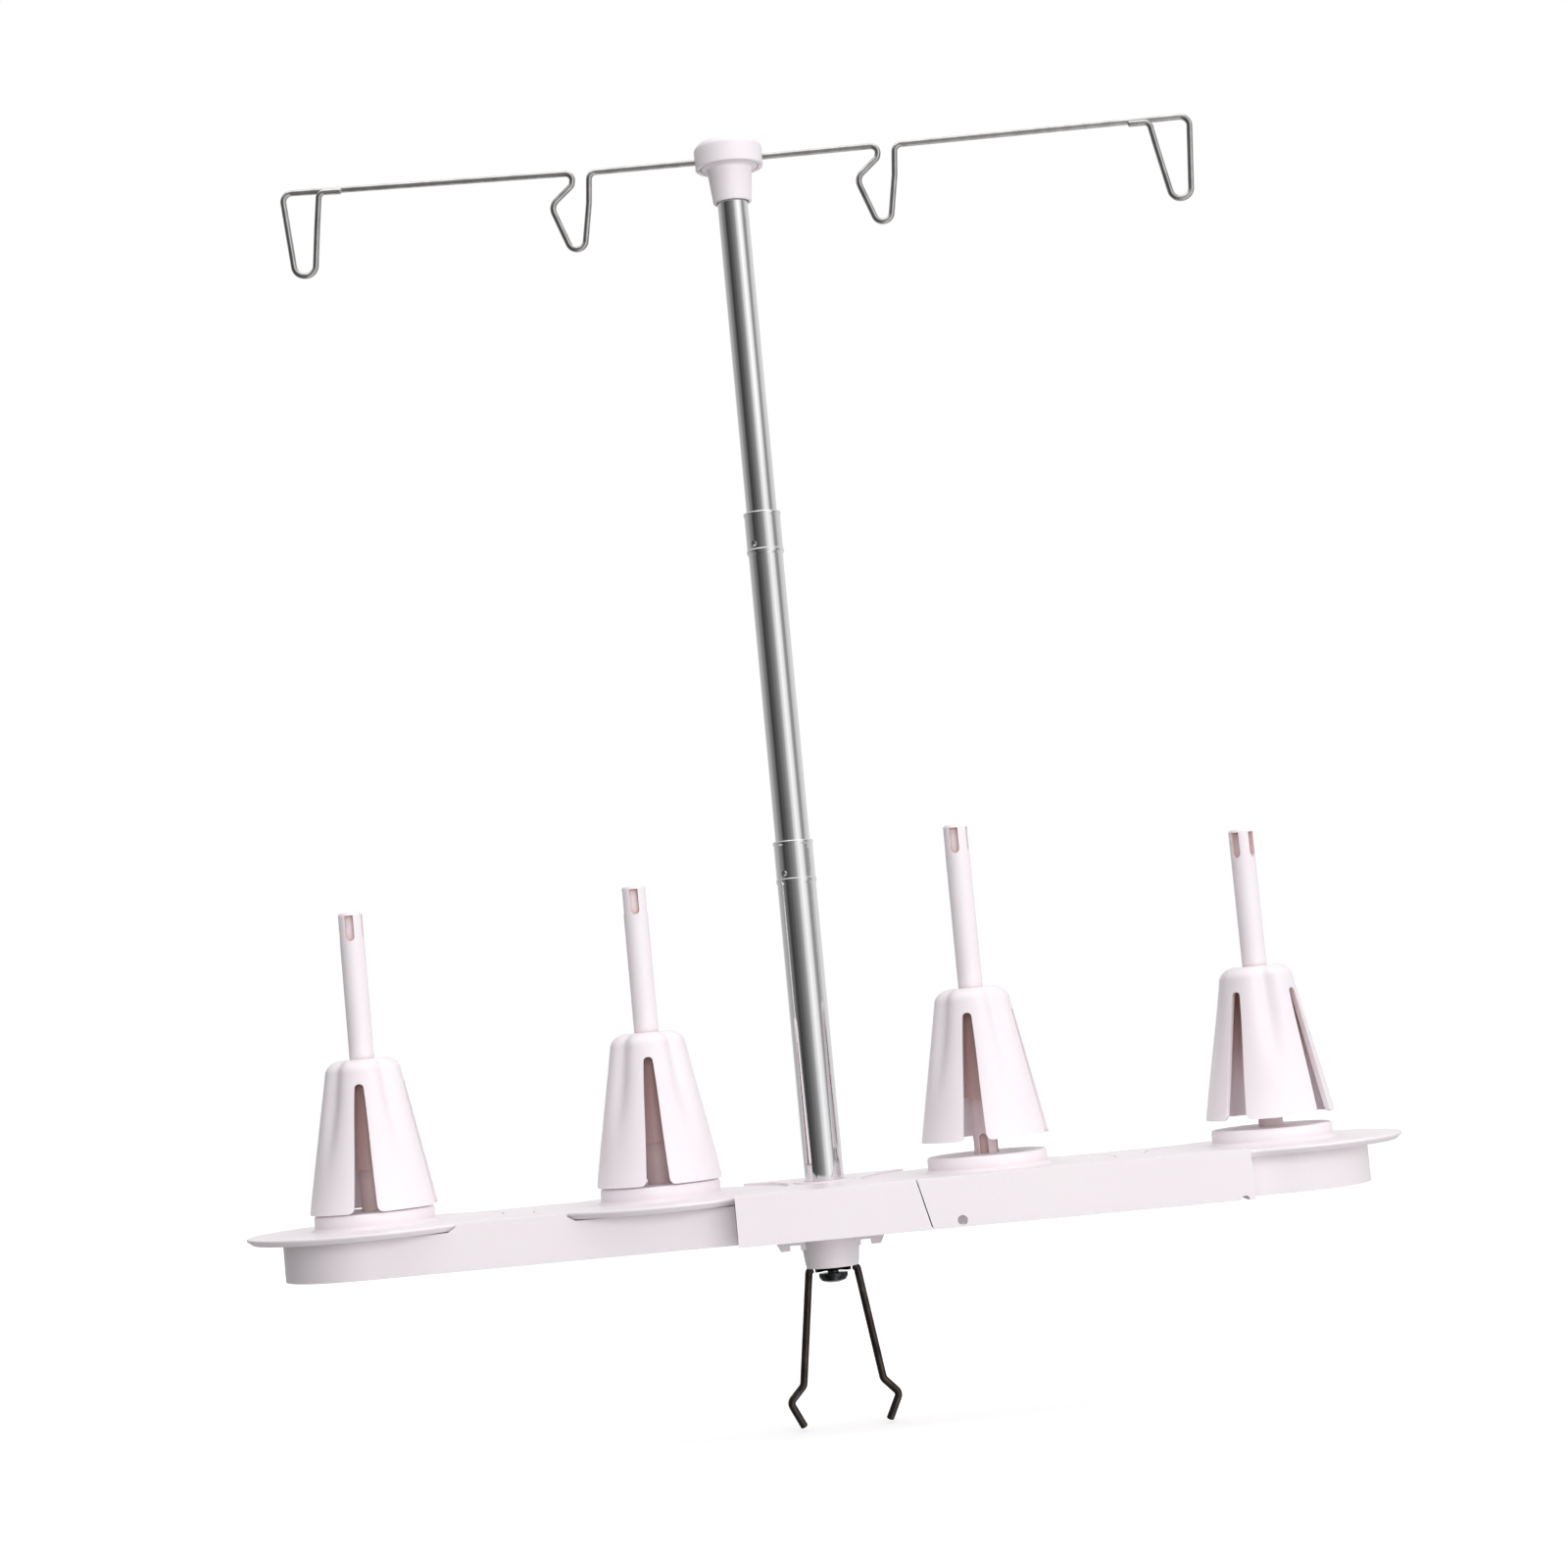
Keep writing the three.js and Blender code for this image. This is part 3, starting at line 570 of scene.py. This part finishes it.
def seat_mesh(node):
    low, high = span(node)
    x = (low.x + high.x) / 2
    radius = (high.x - low.x) / 2
    ring_top = high.z
    disc_top = ring_top - RING_HEIGHT
    disc_under = disc_top - DISC_THICK
    profile = filleted([
        (0, low.z),
        (STEM_RADIUS, low.z, 0.6),
        (STEM_RADIUS, disc_under, 1.2),
        (radius - RIM_SLOPE, disc_under, 0.5),
        (radius, disc_top - RIM_FLAT, 0.4),
        (radius, disc_top, 0.3),
        (RING_RADIUS + RING_FOOT[0], disc_top, 0.5),
        (RING_RADIUS, disc_top + RING_FOOT[1], 0.5),
        (RING_RADIUS, ring_top, 0.8),
        (SOCKET_RADIUS, ring_top, 0.35),
        (SOCKET_RADIUS, SOCKET_FLOOR, 0.4),
        (0, SOCKET_FLOOR),
    ])
    return lathe(profile, x, 128)


# ---------------------------------------------------------------- spool pins

PIN = {"radius": 3.5, "flute": 8.3, "half_width": 1.2, "depth": 1.7, "cap": 1.0}
TURNS = {1: 0, 2: 1, 3: -13, 4: -41}  # how each pin and cone holder is turned, in degrees


def place_round(x, turn, r, z, angle):
    """A point r out from the upright at x, angle degrees round from the front, plus turn."""
    a = math.radians(turn + angle + FRONT)
    return (x + r * math.cos(a), r * math.sin(a), z)


def pin_half_rows():
    """Rows from one end of a pin to the end of its flute.

    Each row is (kind, height from the end, radius, half width of the flute): a cap row is
    round all the way, and a flute row has the flute's flat floor.
    """
    radius = PIN["radius"]
    arch = PIN["flute"] - PIN["half_width"]
    ends = [(0, 0.0), (2.2, 0.0), (2.75, 0.08), (3.15, 0.28), (3.4, 0.58), (radius, 0.95)]
    rows = [("cap", z, r, PIN["half_width"]) for r, z in ends]
    flute_start = PIN["cap"] + 0.05
    rows.append(("cap", flute_start, radius, PIN["half_width"]))
    for z in (flute_start, 2.8, 4.6, 6.0, arch):
        rows.append(("flute", z, radius, PIN["half_width"]))
    steps = 6
    for k in range(1, steps + 1):
        angle = math.pi / 2 * k / steps
        rows.append((
            "flute", arch + PIN["half_width"] * math.sin(angle), radius,
            PIN["half_width"] * math.cos(angle),
        ))
    return rows


def pin_mesh(node, turn):
    """A pin with four flutes at each end, made of mirrored eighths of its turn."""
    low, high = span(node)
    x = (low.x + high.x) / 2
    length = high.z - low.z
    radius = PIN["radius"]
    floor_steps, land_steps = 3, 6
    floor_y = radius - PIN["depth"]

    def row_points(kind, z, r, half):
        """(distance out, angle) pairs from the flute's centre to the middle of the land."""
        edge = math.degrees(math.asin(min(1, half / radius)))
        points = []
        for i in range(floor_steps + 1):
            across = half * i / floor_steps
            if kind == "flute":
                out = math.hypot(across, floor_y)
                points.append((out, math.degrees(math.atan2(across, floor_y))))
            else:
                points.append((r, edge * i / floor_steps))
        for i in range(land_steps + 1):
            points.append((r, edge + (45 - edge) * i / land_steps))
        return points

    rows = pin_half_rows()
    plain = [PIN["flute"], 16, 32, length / 2]  # the land's rows from the flute to the middle
    bm = bmesh.new()
    for quarter in range(4):
        for sign in (-1, 1):
            for end in (0, 1):
                def build(kind, z, r, half, first=0):
                    level = low.z + (z if end == 0 else length - z)
                    points = row_points(kind, z, r, half)[first:]
                    return [
                        place_round(x, turn + quarter * 90, out, level, sign * angle)
                        for out, angle in points
                    ]
                skin(bm, [build(*row) for row in rows], wrap=False)
                land = [build("cap", z, radius, 0, floor_steps + 1) for z in plain]
                skin(bm, land, wrap=False)
    return soften(bm, 0.12, 50, 2)


# ---------------------------------------------------------------- cone holders

CONE = {
    "top": 10.1, "bottom": 18.3, "wall": 1.6, "crown": 2.4, "bore": 3.8,
    "sleeve": 5.3, "sleeve_bottom": 11.5, "slot_top": 36.0,
    "slot_top_width": 2.2, "slot_bottom_width": 6.8, "corner": 1.6,
    "shoulder_height": 4.0, "shoulder_width": 5.2, "groove": 2.0, "inner_groove": 0.75,
}


def smooth(t):
    """Eases from 0 to 1 as t does, and stays there outside."""
    t = min(1.0, max(0.0, t))
    return t * t * (3 - 2 * t)


def cone_mesh(node, turn):
    """A slotted cone of four petals under a rounded crown, with a sleeve for the pin."""
    low, high = span(node)
    x = (low.x + high.x) / 2
    height = high.z - low.z
    flank = (CONE["bottom"] - CONE["top"]) / height
    inner_share = CONE["inner_groove"]

    def groove(z, angle, share=1.0):
        """How far the middle of a petal is drawn in; it fades and narrows downwards."""
        depth = CONE["groove"] * smooth((z - 8) / 24)
        width = 10 + 4 * smooth((z - 5) / 30)  # in degrees
        return share * depth * math.exp(-((45 - angle) / width) ** 2)

    def slot_half(z):
        if z >= CONE["slot_top"]:
            return 0.0
        top = CONE["slot_top_width"] / 2
        bottom = CONE["slot_bottom_width"] / 2
        straight = CONE["slot_top"] - top
        half = bottom + (top - bottom) * min(z, straight) / straight
        if z > straight:
            half = math.sqrt(max(0.0, top * top - (z - straight) ** 2))
        corner = CONE["corner"]
        if z < corner:
            half += corner - math.sqrt(corner * corner - (corner - z) ** 2)
        return half

    corner, arch = CONE["corner"], CONE["slot_top_width"] / 2
    arch_start = CONE["slot_top"] - arch
    levels = [corner * (1 - math.cos(math.pi / 2 * k / 4)) for k in range(5)]
    levels += [3 + (arch_start - 3) * k / 22 for k in range(23)]
    levels += [arch_start + arch * math.sin(math.pi / 2 * k / 3) for k in (1, 2, 3)]
    columns = 14

    def row(radius_at, z, half):
        points = []
        base = radius_at(45.0)
        edge = math.degrees(math.asin(min(1.0, half / base)))
        for j in range(columns + 1):
            angle = edge + (45 - edge) * j / columns
            points.append((radius_at(angle), z, angle))
        return points

    outer, inner = [], []
    for z in levels:
        outside = CONE["bottom"] - flank * z
        outer.append(row(lambda a, r=outside, z=z: r - groove(z, a), z, slot_half(z)))
        inside = outside - CONE["wall"]
        inner.append(row(
            lambda a, r=inside, z=z: r - groove(z, a, inner_share), z, slot_half(z)))

    crest = []
    rise, inset = CONE["shoulder_height"], CONE["shoulder_width"]
    rim = CONE["bottom"] - flank * (height - rise)
    for z in (37.2, height - rise):
        outside = CONE["bottom"] - flank * z
        crest.append(row(lambda a, r=outside, z=z: r - groove(z, a), z, 0))
    for k in range(1, 11):
        bend = math.pi / 2 * k / 10
        z = height - rise * (1 - math.sin(bend))
        outside = rim - inset * (1 - math.cos(bend))
        share = math.cos(bend) ** 0.5
        crest.append(row(
            lambda a, r=outside, z=z, s=share: r - groove(z, a, s), z, 0))
    bore, sleeve = CONE["bore"], CONE["sleeve"]
    foot, ceiling = CONE["sleeve_bottom"], height - CONE["crown"]
    hole = [
        (bore + 0.5, height), (bore + 0.15, height - 0.1), (bore, height - 0.45),
        (bore, height / 2), (bore, foot), (sleeve, foot), (sleeve, 26), (sleeve, ceiling),
    ]
    for r, z in hole:
        crest.append(row(lambda a, r=r: r, z, 0))
    for z in (ceiling, 38.0):
        inside = CONE["bottom"] - flank * z - CONE["wall"]
        crest.append(row(lambda a, r=inside, z=z: r - groove(z, a, inner_share), z, 0))
    rows = outer + crest + inner[::-1]

    bm = bmesh.new()
    for quarter in range(4):
        for sign in (-1, 1):
            def place(point):
                r, z, angle = point
                return place_round(x, turn + 90 * quarter, r, low.z + z, sign * angle)
            skin(bm, [[place(p) for p in ring] for ring in rows], wrap=False, loop=True)
            skin(bm, [
                [place(a[0]), place(b[0])] for a, b in zip(outer, inner)
            ], wrap=False)
    return soften(bm, 0.22, 48, 2)


for number, turn in TURNS.items():
    publish(f"seat_{number}", seat_mesh(f"spool_seat_{number}"), f"spool_seat_{number}")
    publish(f"pin_{number}", pin_mesh(f"spool_pin_{number}", turn), f"spool_pin_{number}",
            finish="pin_plastic")
    publish(f"cone_{number}", cone_mesh(f"cone_holder_{number}", turn),
            f"cone_holder_{number}", finish="thin_plastic")

# ---------------------------------------------------------------- mast

TUBE_RADIUS = {"lower": 5.6, "middle": 5.0, "upper": 4.45}
TUBE_WALL = 0.35
MOUTH = 12.0  # height of the swelled band at a tube's mouth
DIMPLE = {"above_ring": 2.6, "turn": -35, "radius": 1.05, "depth": 0.32, "half": 1.2}
BRAKE_PLAY = 0.3
SPIGOT_HEIGHT = 3.3


def levels_between(low, high, step):
    count = max(1, round((high - low) / step))
    return [low + (high - low) * k / count for k in range(count + 1)]


def tube_mesh(name, mouth_extra):
    """A thin tube; mouth_extra is how far its dimpled mouth swells, 0 for a plain one."""
    low, high = span(f"{name}_tube")
    radius = TUBE_RADIUS[name]
    bore = radius - TUBE_WALL
    if not mouth_extra:
        profile = filleted([
            (radius, low.z, 0.1), (radius, high.z, 0.1), (bore, high.z), (bore, low.z),
        ], closed=True, steps=2)
        return lathe(profile, 0, 96)
    ring = high.z - MOUTH
    swell = radius + mouth_extra
    waist = swell - 0.2
    outside = filleted([
        (radius, low.z), (radius, ring - 0.7, 0.6), (swell, ring + 0.1, 0.3),
        (swell, ring + 0.8, 0.3), (waist, ring + 1.3, 0.3),
        (waist, high.z - 1.3, 0.3), (swell, high.z - 0.9, 0.3),
        (swell, high.z, 0.35), (bore, high.z, 0.12), (bore, low.z),
    ], steps=3)
    profile = []
    dimple_z = ring + DIMPLE["above_ring"]
    half = DIMPLE["half"]
    for point in outside:
        if profile and profile[-1][1] < dimple_z < point.y:
            profile += [
                (waist, z) for z in levels_between(dimple_z - half, dimple_z + half, 0.16)
            ]
        profile.append((point.x, point.y))

    def dimple(turn, r, z):
        """The punched stop in the mouth's band, front left."""
        if r < bore + 0.1:
            return 0.0
        off = (turn + 180) % 360 - 180 - DIMPLE["turn"]
        across = math.radians(off) * radius
        distance = math.hypot(across, z - dimple_z)
        return -DIMPLE["depth"] * smooth(1 - distance / DIMPLE["radius"])

    return lathe(profile, 0, 144, dimple)


publish("tube_lower", tube_mesh("lower", 0.25), "lower_tube")
publish("tube_middle", tube_mesh("middle", 0.45), "middle_tube")
publish("tube_upper", tube_mesh("upper", 0), "upper_tube")


def brake_mesh(name):
    """The friction plug in a tube's foot: a flange, and a spigot up the tube's bore."""
    low, high = span(f"{name}_brake")
    spigot = TUBE_RADIUS[name] - TUBE_WALL - BRAKE_PLAY
    flange = (high.x - low.x) / 2
    shelf = high.z - SPIGOT_HEIGHT
    return lathe(filleted([
        (0, low.z), (flange, low.z, 0.5), (flange, shelf, 0.3), (spigot, shelf, 0.1),
        (spigot, high.z, 0.4), (0, high.z),
    ]), 0, 64)


publish("brake_middle", brake_mesh("middle"), "middle_brake")
publish("brake_upper", brake_mesh("upper"), "upper_brake")
publish("plug", from_cad("mast_plug", 0.3), "mast_plug")

# ---------------------------------------------------------------- hub and guides

WIRE = 0.9
BAR_Z = span("hub_cap")[1].z - 5.0
HUB = {"bore": 4.75, "ceiling": 2.4, "neck": 6.6, "mouth": 5.6, "flange_under": 310.4}
CAP = {"crown": 5.2, "wall": 1.4, "ceiling": 3.7}


def hub_body_mesh():
    low, high = span("hub_body")
    flange = (high.x - low.x) / 2
    under = HUB["flange_under"]
    ceiling = high.z - HUB["ceiling"]
    return lathe(filleted([
        (0, high.z), (flange, high.z, 0.3), (flange, under, 0.3),
        (HUB["neck"], under - 0.3, 0.8), (HUB["mouth"], low.z, 0.4),
        (HUB["bore"], low.z, 0.2), (HUB["bore"], ceiling), (0, ceiling),
    ]), 0, 96)


def hub_cap_mesh():
    """The cap over the bar, slotted from below for the wires."""
    low, high = span("hub_cap")
    radius = (high.x - low.x) / 2
    inside = radius - CAP["wall"]
    ceiling = high.z - CAP["ceiling"]
    cup = lathe(filleted([
        (0, high.z), (CAP["crown"], high.z, 3), (inside, high.z - 0.15, 1.1),
        (radius, high.z - 1.7, 1.6), (radius, low.z, 0.35), (inside, low.z, 0.2),
        (inside, ceiling, 0.4), (0, ceiling),
    ]), 0, 112)
    notch = WIRE + 0.3
    slot = block_mesh((-radius - 1, -notch, low.z - 1), (radius + 1, notch, BAR_Z + notch))
    soften(slot, 0.9, 40, 4)
    return carved(cup, [slot])


publish("hub_neck", hub_body_mesh(), "hub_body")
publish("hub_top", hub_cap_mesh(), "hub_cap")

BAR_GAP = 1.5  # from the mast's axis to the inner end of each wire
HOOK = [
    (1.0, 0.2, 2.0), (0.2, -3.4, 1.6), (-6.4, -9.0, 3.4), (-1.3, -23.2, 2.6),
    (2.6, -21.8, 2.6), (4.8, -9.0, 6.0), (5.6, 0.0, 2.2),
]  # x from the hook's foot, z from the bar, bend radius
HOOK_FOOT = {"left": -46.7, "right": 43.3}
LOOP_MIDDLE = {"left": -126.6, "right": 130.6}
LOOPS = {
    "left": [
        (4.7, 0, 2.0, 2.6), (2.7, 0, -22.5, 3.0), (-3.1, 0, -23.5, 3.0),
        (-4.9, -0.6, -9.0, 8.0), (-6.4, -1.9, 0.9, 1.8), (-13.1, -1.9, 0.7, 0),
    ],
    "right": [
        (5.4, 0, 0.5, 2.6), (3.6, 0, -23.2, 3.0), (-1.8, 0, -24.2, 3.0),
        (-5.0, -0.6, -9.0, 8.0), (-6.8, -1.9, -0.8, 1.8), (-13.1, -1.9, -0.8, 0),
    ],
}  # x outwards from the loop's middle, y, z from the bar, bend radius


def guide_mesh(end):
    """Half of the guide bar, out from the hub: a hook, then a closed loop at its end."""
    side = -1 if end == "left" else 1
    hook = [(HOOK_FOOT[end] + x, 0, BAR_Z + z, r) for x, z, r in HOOK]
    if side < 0:
        hook.reverse()
    loop = [(LOOP_MIDDLE[end] + side * x, y, BAR_Z + z, r) for x, y, z, r in LOOPS[end]]
    inner_end = (side * BAR_GAP, 0, BAR_Z, 0)
    return ball_ended(bent_path([inner_end, *hook, *loop]), WIRE)


publish("thread_guide_left", guide_mesh("left"), "guide_wire_left")
publish("thread_guide_right", guide_mesh("right"), "guide_wire_right")

# ---------------------------------------------------------------- clip and screws

CLIP = 1.1
CLIP_SIDES = 18
CROWN_Z = -10.6
CROWN = {"end": 5.2, "tail": 0.6, "reach": 3.1, "wide": 1.15, "start": 160, "sweep": 140}


def crown_mesh():
    """The bow of the clip round its screw, with a short tail at each side."""
    end, tail, reach = CROWN["end"], CROWN["tail"], CROWN["reach"]
    path = [(-end, 0, CROWN_Z), (-end + tail, 0, CROWN_Z)]
    steps = 28
    for i in range(steps + 1):
        angle = math.radians(CROWN["start"] - CROWN["sweep"] * i / steps)
        path.append((
            reach * CROWN["wide"] * math.cos(angle), reach * math.sin(angle), CROWN_Z))
    path += [(end - tail, 0, CROWN_Z), (end, 0, CROWN_Z)]
    return ball_ended(path, CLIP, CLIP_SIDES, 0.2)


def leg_mesh(side):
    """A leg of the clip, sprung outwards and bent in again at its foot."""
    corners = [
        (5.6, CROWN_Z, 0), (6.9, -11.1, 0.9), (11.4, -43.1, 2.4), (15.6, -47.6, 1.8),
        (12.1, -54.9, 0),
    ]
    path = bent_path([(side * x, 0, z, r) for x, z, r in corners], 8, 3.0)
    return ball_ended(path, CLIP, CLIP_SIDES, 0.45)


publish("clip_bow", crown_mesh(), "clip_crown")
publish("clip_arm_left", leg_mesh(-1), "clip_leg_left")
publish("clip_arm_right", leg_mesh(1), "clip_leg_right")


SCREW = {"pitch": 0.8, "thread": 0.28, "tip": 1.2, "taper": 0.45, "narrow": 0.8}


def cross_cutters(z, reach, width, depth):
    """Two crossed bars on the axis that cut a driver's recess upwards from z."""
    cutters = []
    for long_x in (True, False):
        dx, dy = (reach, width / 2) if long_x else (width / 2, reach)
        bar = block_mesh((-dx, -dy, z - 1), (dx, dy, z + depth))
        for vert in bar.verts:
            if vert.co.z > z * MM:
                vert.co.x *= SCREW["taper"] if long_x else SCREW["narrow"]
                vert.co.y *= SCREW["narrow"] if long_x else SCREW["taper"]
        cutters.append(bar)
    return cutters


def screw_mesh(node, head, shank, head_height, recess):
    """A pan-head screw, head down, with a ridged shank."""
    low, high = span(node)
    x, y = (low.x + high.x) / 2, (low.y + high.y) / 2
    under = low.z + head_height
    profile = [
        (0, low.z), (head * 0.45, low.z, 2.0), (head * 0.86, low.z + head_height * 0.22, 0.8),
        (head, low.z + head_height * 0.62, 0.5), (head, under, 0.15), (shank, under, 0.1),
    ]
    pitch, tip = SCREW["pitch"], SCREW["tip"]
    z = under + pitch / 2
    while z < high.z - tip - pitch / 2:
        profile += [(shank, z), (shank, z + 0.15), (shank - SCREW["thread"], z + pitch / 2)]
        z += pitch
    profile += [(shank, high.z - tip, 0.2), (0.15, high.z), (0, high.z)]
    bm = lathe(filleted(profile, steps=4), 0, 48)
    bmesh.ops.remove_doubles(bm, verts=bm.verts, dist=1e-6)
    cut = carved(bm, cross_cutters(low.z, head * 0.56, head * 0.2, recess))
    bmesh.ops.translate(cut, verts=cut.verts, vec=Vector((x, y, 0)) * MM)
    return cut


publish("boss_screw", screw_mesh("clip_screw", 4.2, 1.6, 2.7, 1.3), "clip_screw", 30)
for number in (1, 2, 3, 4):
    publish(f"tray_screw_{number}", screw_mesh(f"arm_screw_{number}", 2.7, 1.25, 1.7, 0.9),
            f"arm_screw_{number}", 30)

# ---------------------------------------------------------------- floor, light and camera

FLOOR_GAP = 0.4
FLOOR_RADIUS = 1700

floor_mesh = bpy.data.meshes.new("floor")
floor_bm = bmesh.new()
bmesh.ops.create_circle(floor_bm, cap_ends=True, radius=FLOOR_RADIUS * MM, segments=96)
floor_bm.to_mesh(floor_mesh)
floor_bm.free()
floor = placed("floor", floor_mesh)
floor.location.z = cad_box[0].z - FLOOR_GAP * MM
floor_finish = Finish("floor", Roughness=0.75, Emission_Strength=0.42)
floor_finish.shader.inputs["Emission Color"].default_value = (1, 1, 1, 1)
floor_finish.shader.inputs["Specular IOR Level"].default_value = 0.1
floor_finish.set("Base Color", floor_finish.colours(
    floor_finish.noise(3, 3), [(0.3, (0.90, 0.90, 0.90)), (0.7, (0.93, 0.93, 0.93))]))
floor_mesh.materials.append(floor_finish.material)
floor.visible_diffuse = False  # the world lights the stand from below in its place
floor.visible_glossy = False


def area_light(name, azimuth, elevation, distance, size, power, target, glossy=True):
    """A soft box, in metres and watts; azimuth is from the front towards +X."""
    light = bpy.data.lights.new(name, "AREA")
    light.shape = "RECTANGLE"
    light.size, light.size_y = size
    light.energy = power
    a, e = math.radians(azimuth), math.radians(elevation)
    out = Vector((math.sin(a) * math.cos(e), -math.cos(a) * math.cos(e), math.sin(e)))
    holder = placed(name, light)
    holder.location = Vector(target) + out * distance
    holder.rotation_mode = "QUATERNION"
    holder.rotation_quaternion = (-out).to_track_quat("-Z", "Y")
    holder.visible_glossy = glossy


middle = (cad_box[0] + cad_box[1]) / 2
area_light("key", 52, 34, 1.5, (1.1, 1.1), 0.5, middle)
area_light("top", 10, 88, 1.5, (1.6, 1.6), 8, middle)
area_light("front", 12, -2, 1.2, (1.3, 0.9), 12.4, middle, glossy=False)

# The studio round the stand, as azimuth from the front towards +X and brightness: dark to
# the left of the camera, a bright panel to its right, a dark gap beside it, then the sweep.
STUDIO = [
    (-180, 0.80), (-118, 0.46), (-84, 0.22), (-60, 0.055), (-40, 0.10), (-16, 0.20),
    (2, 0.34), (18, 0.78), (34, 1.10), (52, 0.92), (70, 0.36), (82, 0.30), (98, 0.62),
    (124, 0.78), (180, 0.80),
]

CEILING = {"level": 0.85, "start": 0.35, "full": 0.85}  # start and full: sines of the angle up


def studio_world():
    """The panels of STUDIO under a pale ceiling; the camera itself sees plain white."""
    world = bpy.data.worlds.new("studio")
    world.use_nodes = True
    tree = world.node_tree
    tree.nodes.clear()
    link = tree.links.new

    def add(kind, **settings):
        node = tree.nodes.new(kind)
        for key, value in settings.items():
            setattr(node, key, value)
        return node

    direction = add("ShaderNodeTexCoord").outputs["Generated"]
    split = add("ShaderNodeSeparateXYZ")
    link(direction, split.inputs[0])
    backwards = add("ShaderNodeMath", operation="MULTIPLY")
    backwards.inputs[1].default_value = -1
    link(split.outputs["Y"], backwards.inputs[0])
    azimuth = add("ShaderNodeMath", operation="ARCTAN2")
    link(split.outputs["X"], azimuth.inputs[0])
    link(backwards.outputs[0], azimuth.inputs[1])
    turned = add("ShaderNodeMapRange")
    turned.inputs["From Min"].default_value = -math.pi
    turned.inputs["From Max"].default_value = math.pi
    link(azimuth.outputs[0], turned.inputs["Value"])

    panels = add("ShaderNodeValToRGB")
    ramp = panels.color_ramp
    ramp.interpolation = "EASE"
    while len(ramp.elements) < len(STUDIO):
        ramp.elements.new(0.5)
    for element, (turn, level) in zip(ramp.elements, STUDIO):
        element.position = (turn + 180) / 360
        element.color = (level, level, level, 1)
    link(turned.outputs["Result"], panels.inputs["Fac"])

    height = add("ShaderNodeMapRange")
    height.interpolation_type = "SMOOTHSTEP"
    height.inputs["From Min"].default_value = CEILING["start"]
    height.inputs["From Max"].default_value = CEILING["full"]
    link(split.outputs["Z"], height.inputs["Value"])
    ceiling = add("ShaderNodeMix", data_type="RGBA")
    ceiling.inputs[7].default_value = (*[CEILING["level"]] * 3, 1)
    link(height.outputs["Result"], ceiling.inputs["Factor"])
    link(panels.outputs["Color"], ceiling.inputs[6])

    around = add("ShaderNodeBackground")
    link(ceiling.outputs[2], around.inputs["Color"])
    backdrop = add("ShaderNodeBackground")
    backdrop.inputs["Color"].default_value = (1, 1, 1, 1)
    choice = add("ShaderNodeMixShader")
    link(add("ShaderNodeLightPath").outputs["Is Camera Ray"], choice.inputs["Fac"])
    link(around.outputs[0], choice.inputs[1])
    link(backdrop.outputs[0], choice.inputs[2])
    link(choice.outputs[0], add("ShaderNodeOutputWorld").inputs["Surface"])
    return world


bpy.context.scene.world = studio_world()
bpy.context.scene.view_settings.view_transform = "Standard"

CAMERA_PLACE = Vector((-9.2, -892.1, 62.5)) * MM
CAMERA_YAW, CAMERA_PITCH, CAMERA_ROLL = (math.radians(a) for a in (0.53, 4.237, -5.379))
CAMERA_LENS = 71.05

level_ahead = Vector((math.sin(CAMERA_YAW), math.cos(CAMERA_YAW), 0))
level_right = Vector((math.cos(CAMERA_YAW), -math.sin(CAMERA_YAW), 0))
up = Vector((0, 0, 1))
ahead = level_ahead * math.cos(CAMERA_PITCH) + up * math.sin(CAMERA_PITCH)
raised = up * math.cos(CAMERA_PITCH) - level_ahead * math.sin(CAMERA_PITCH)
right = level_right * math.cos(CAMERA_ROLL) + raised * math.sin(CAMERA_ROLL)
top = raised * math.cos(CAMERA_ROLL) - level_right * math.sin(CAMERA_ROLL)
camera_data = bpy.data.cameras.new("camera")
camera_data.lens = CAMERA_LENS
camera_data.sensor_width = 36
camera_data.clip_start = 0.05
camera_data.clip_end = 20
camera = placed("camera", camera_data)
pose = Matrix((right, top, -ahead)).transposed().to_4x4()
pose.translation = CAMERA_PLACE
camera.matrix_world = pose
bpy.context.scene.camera = camera
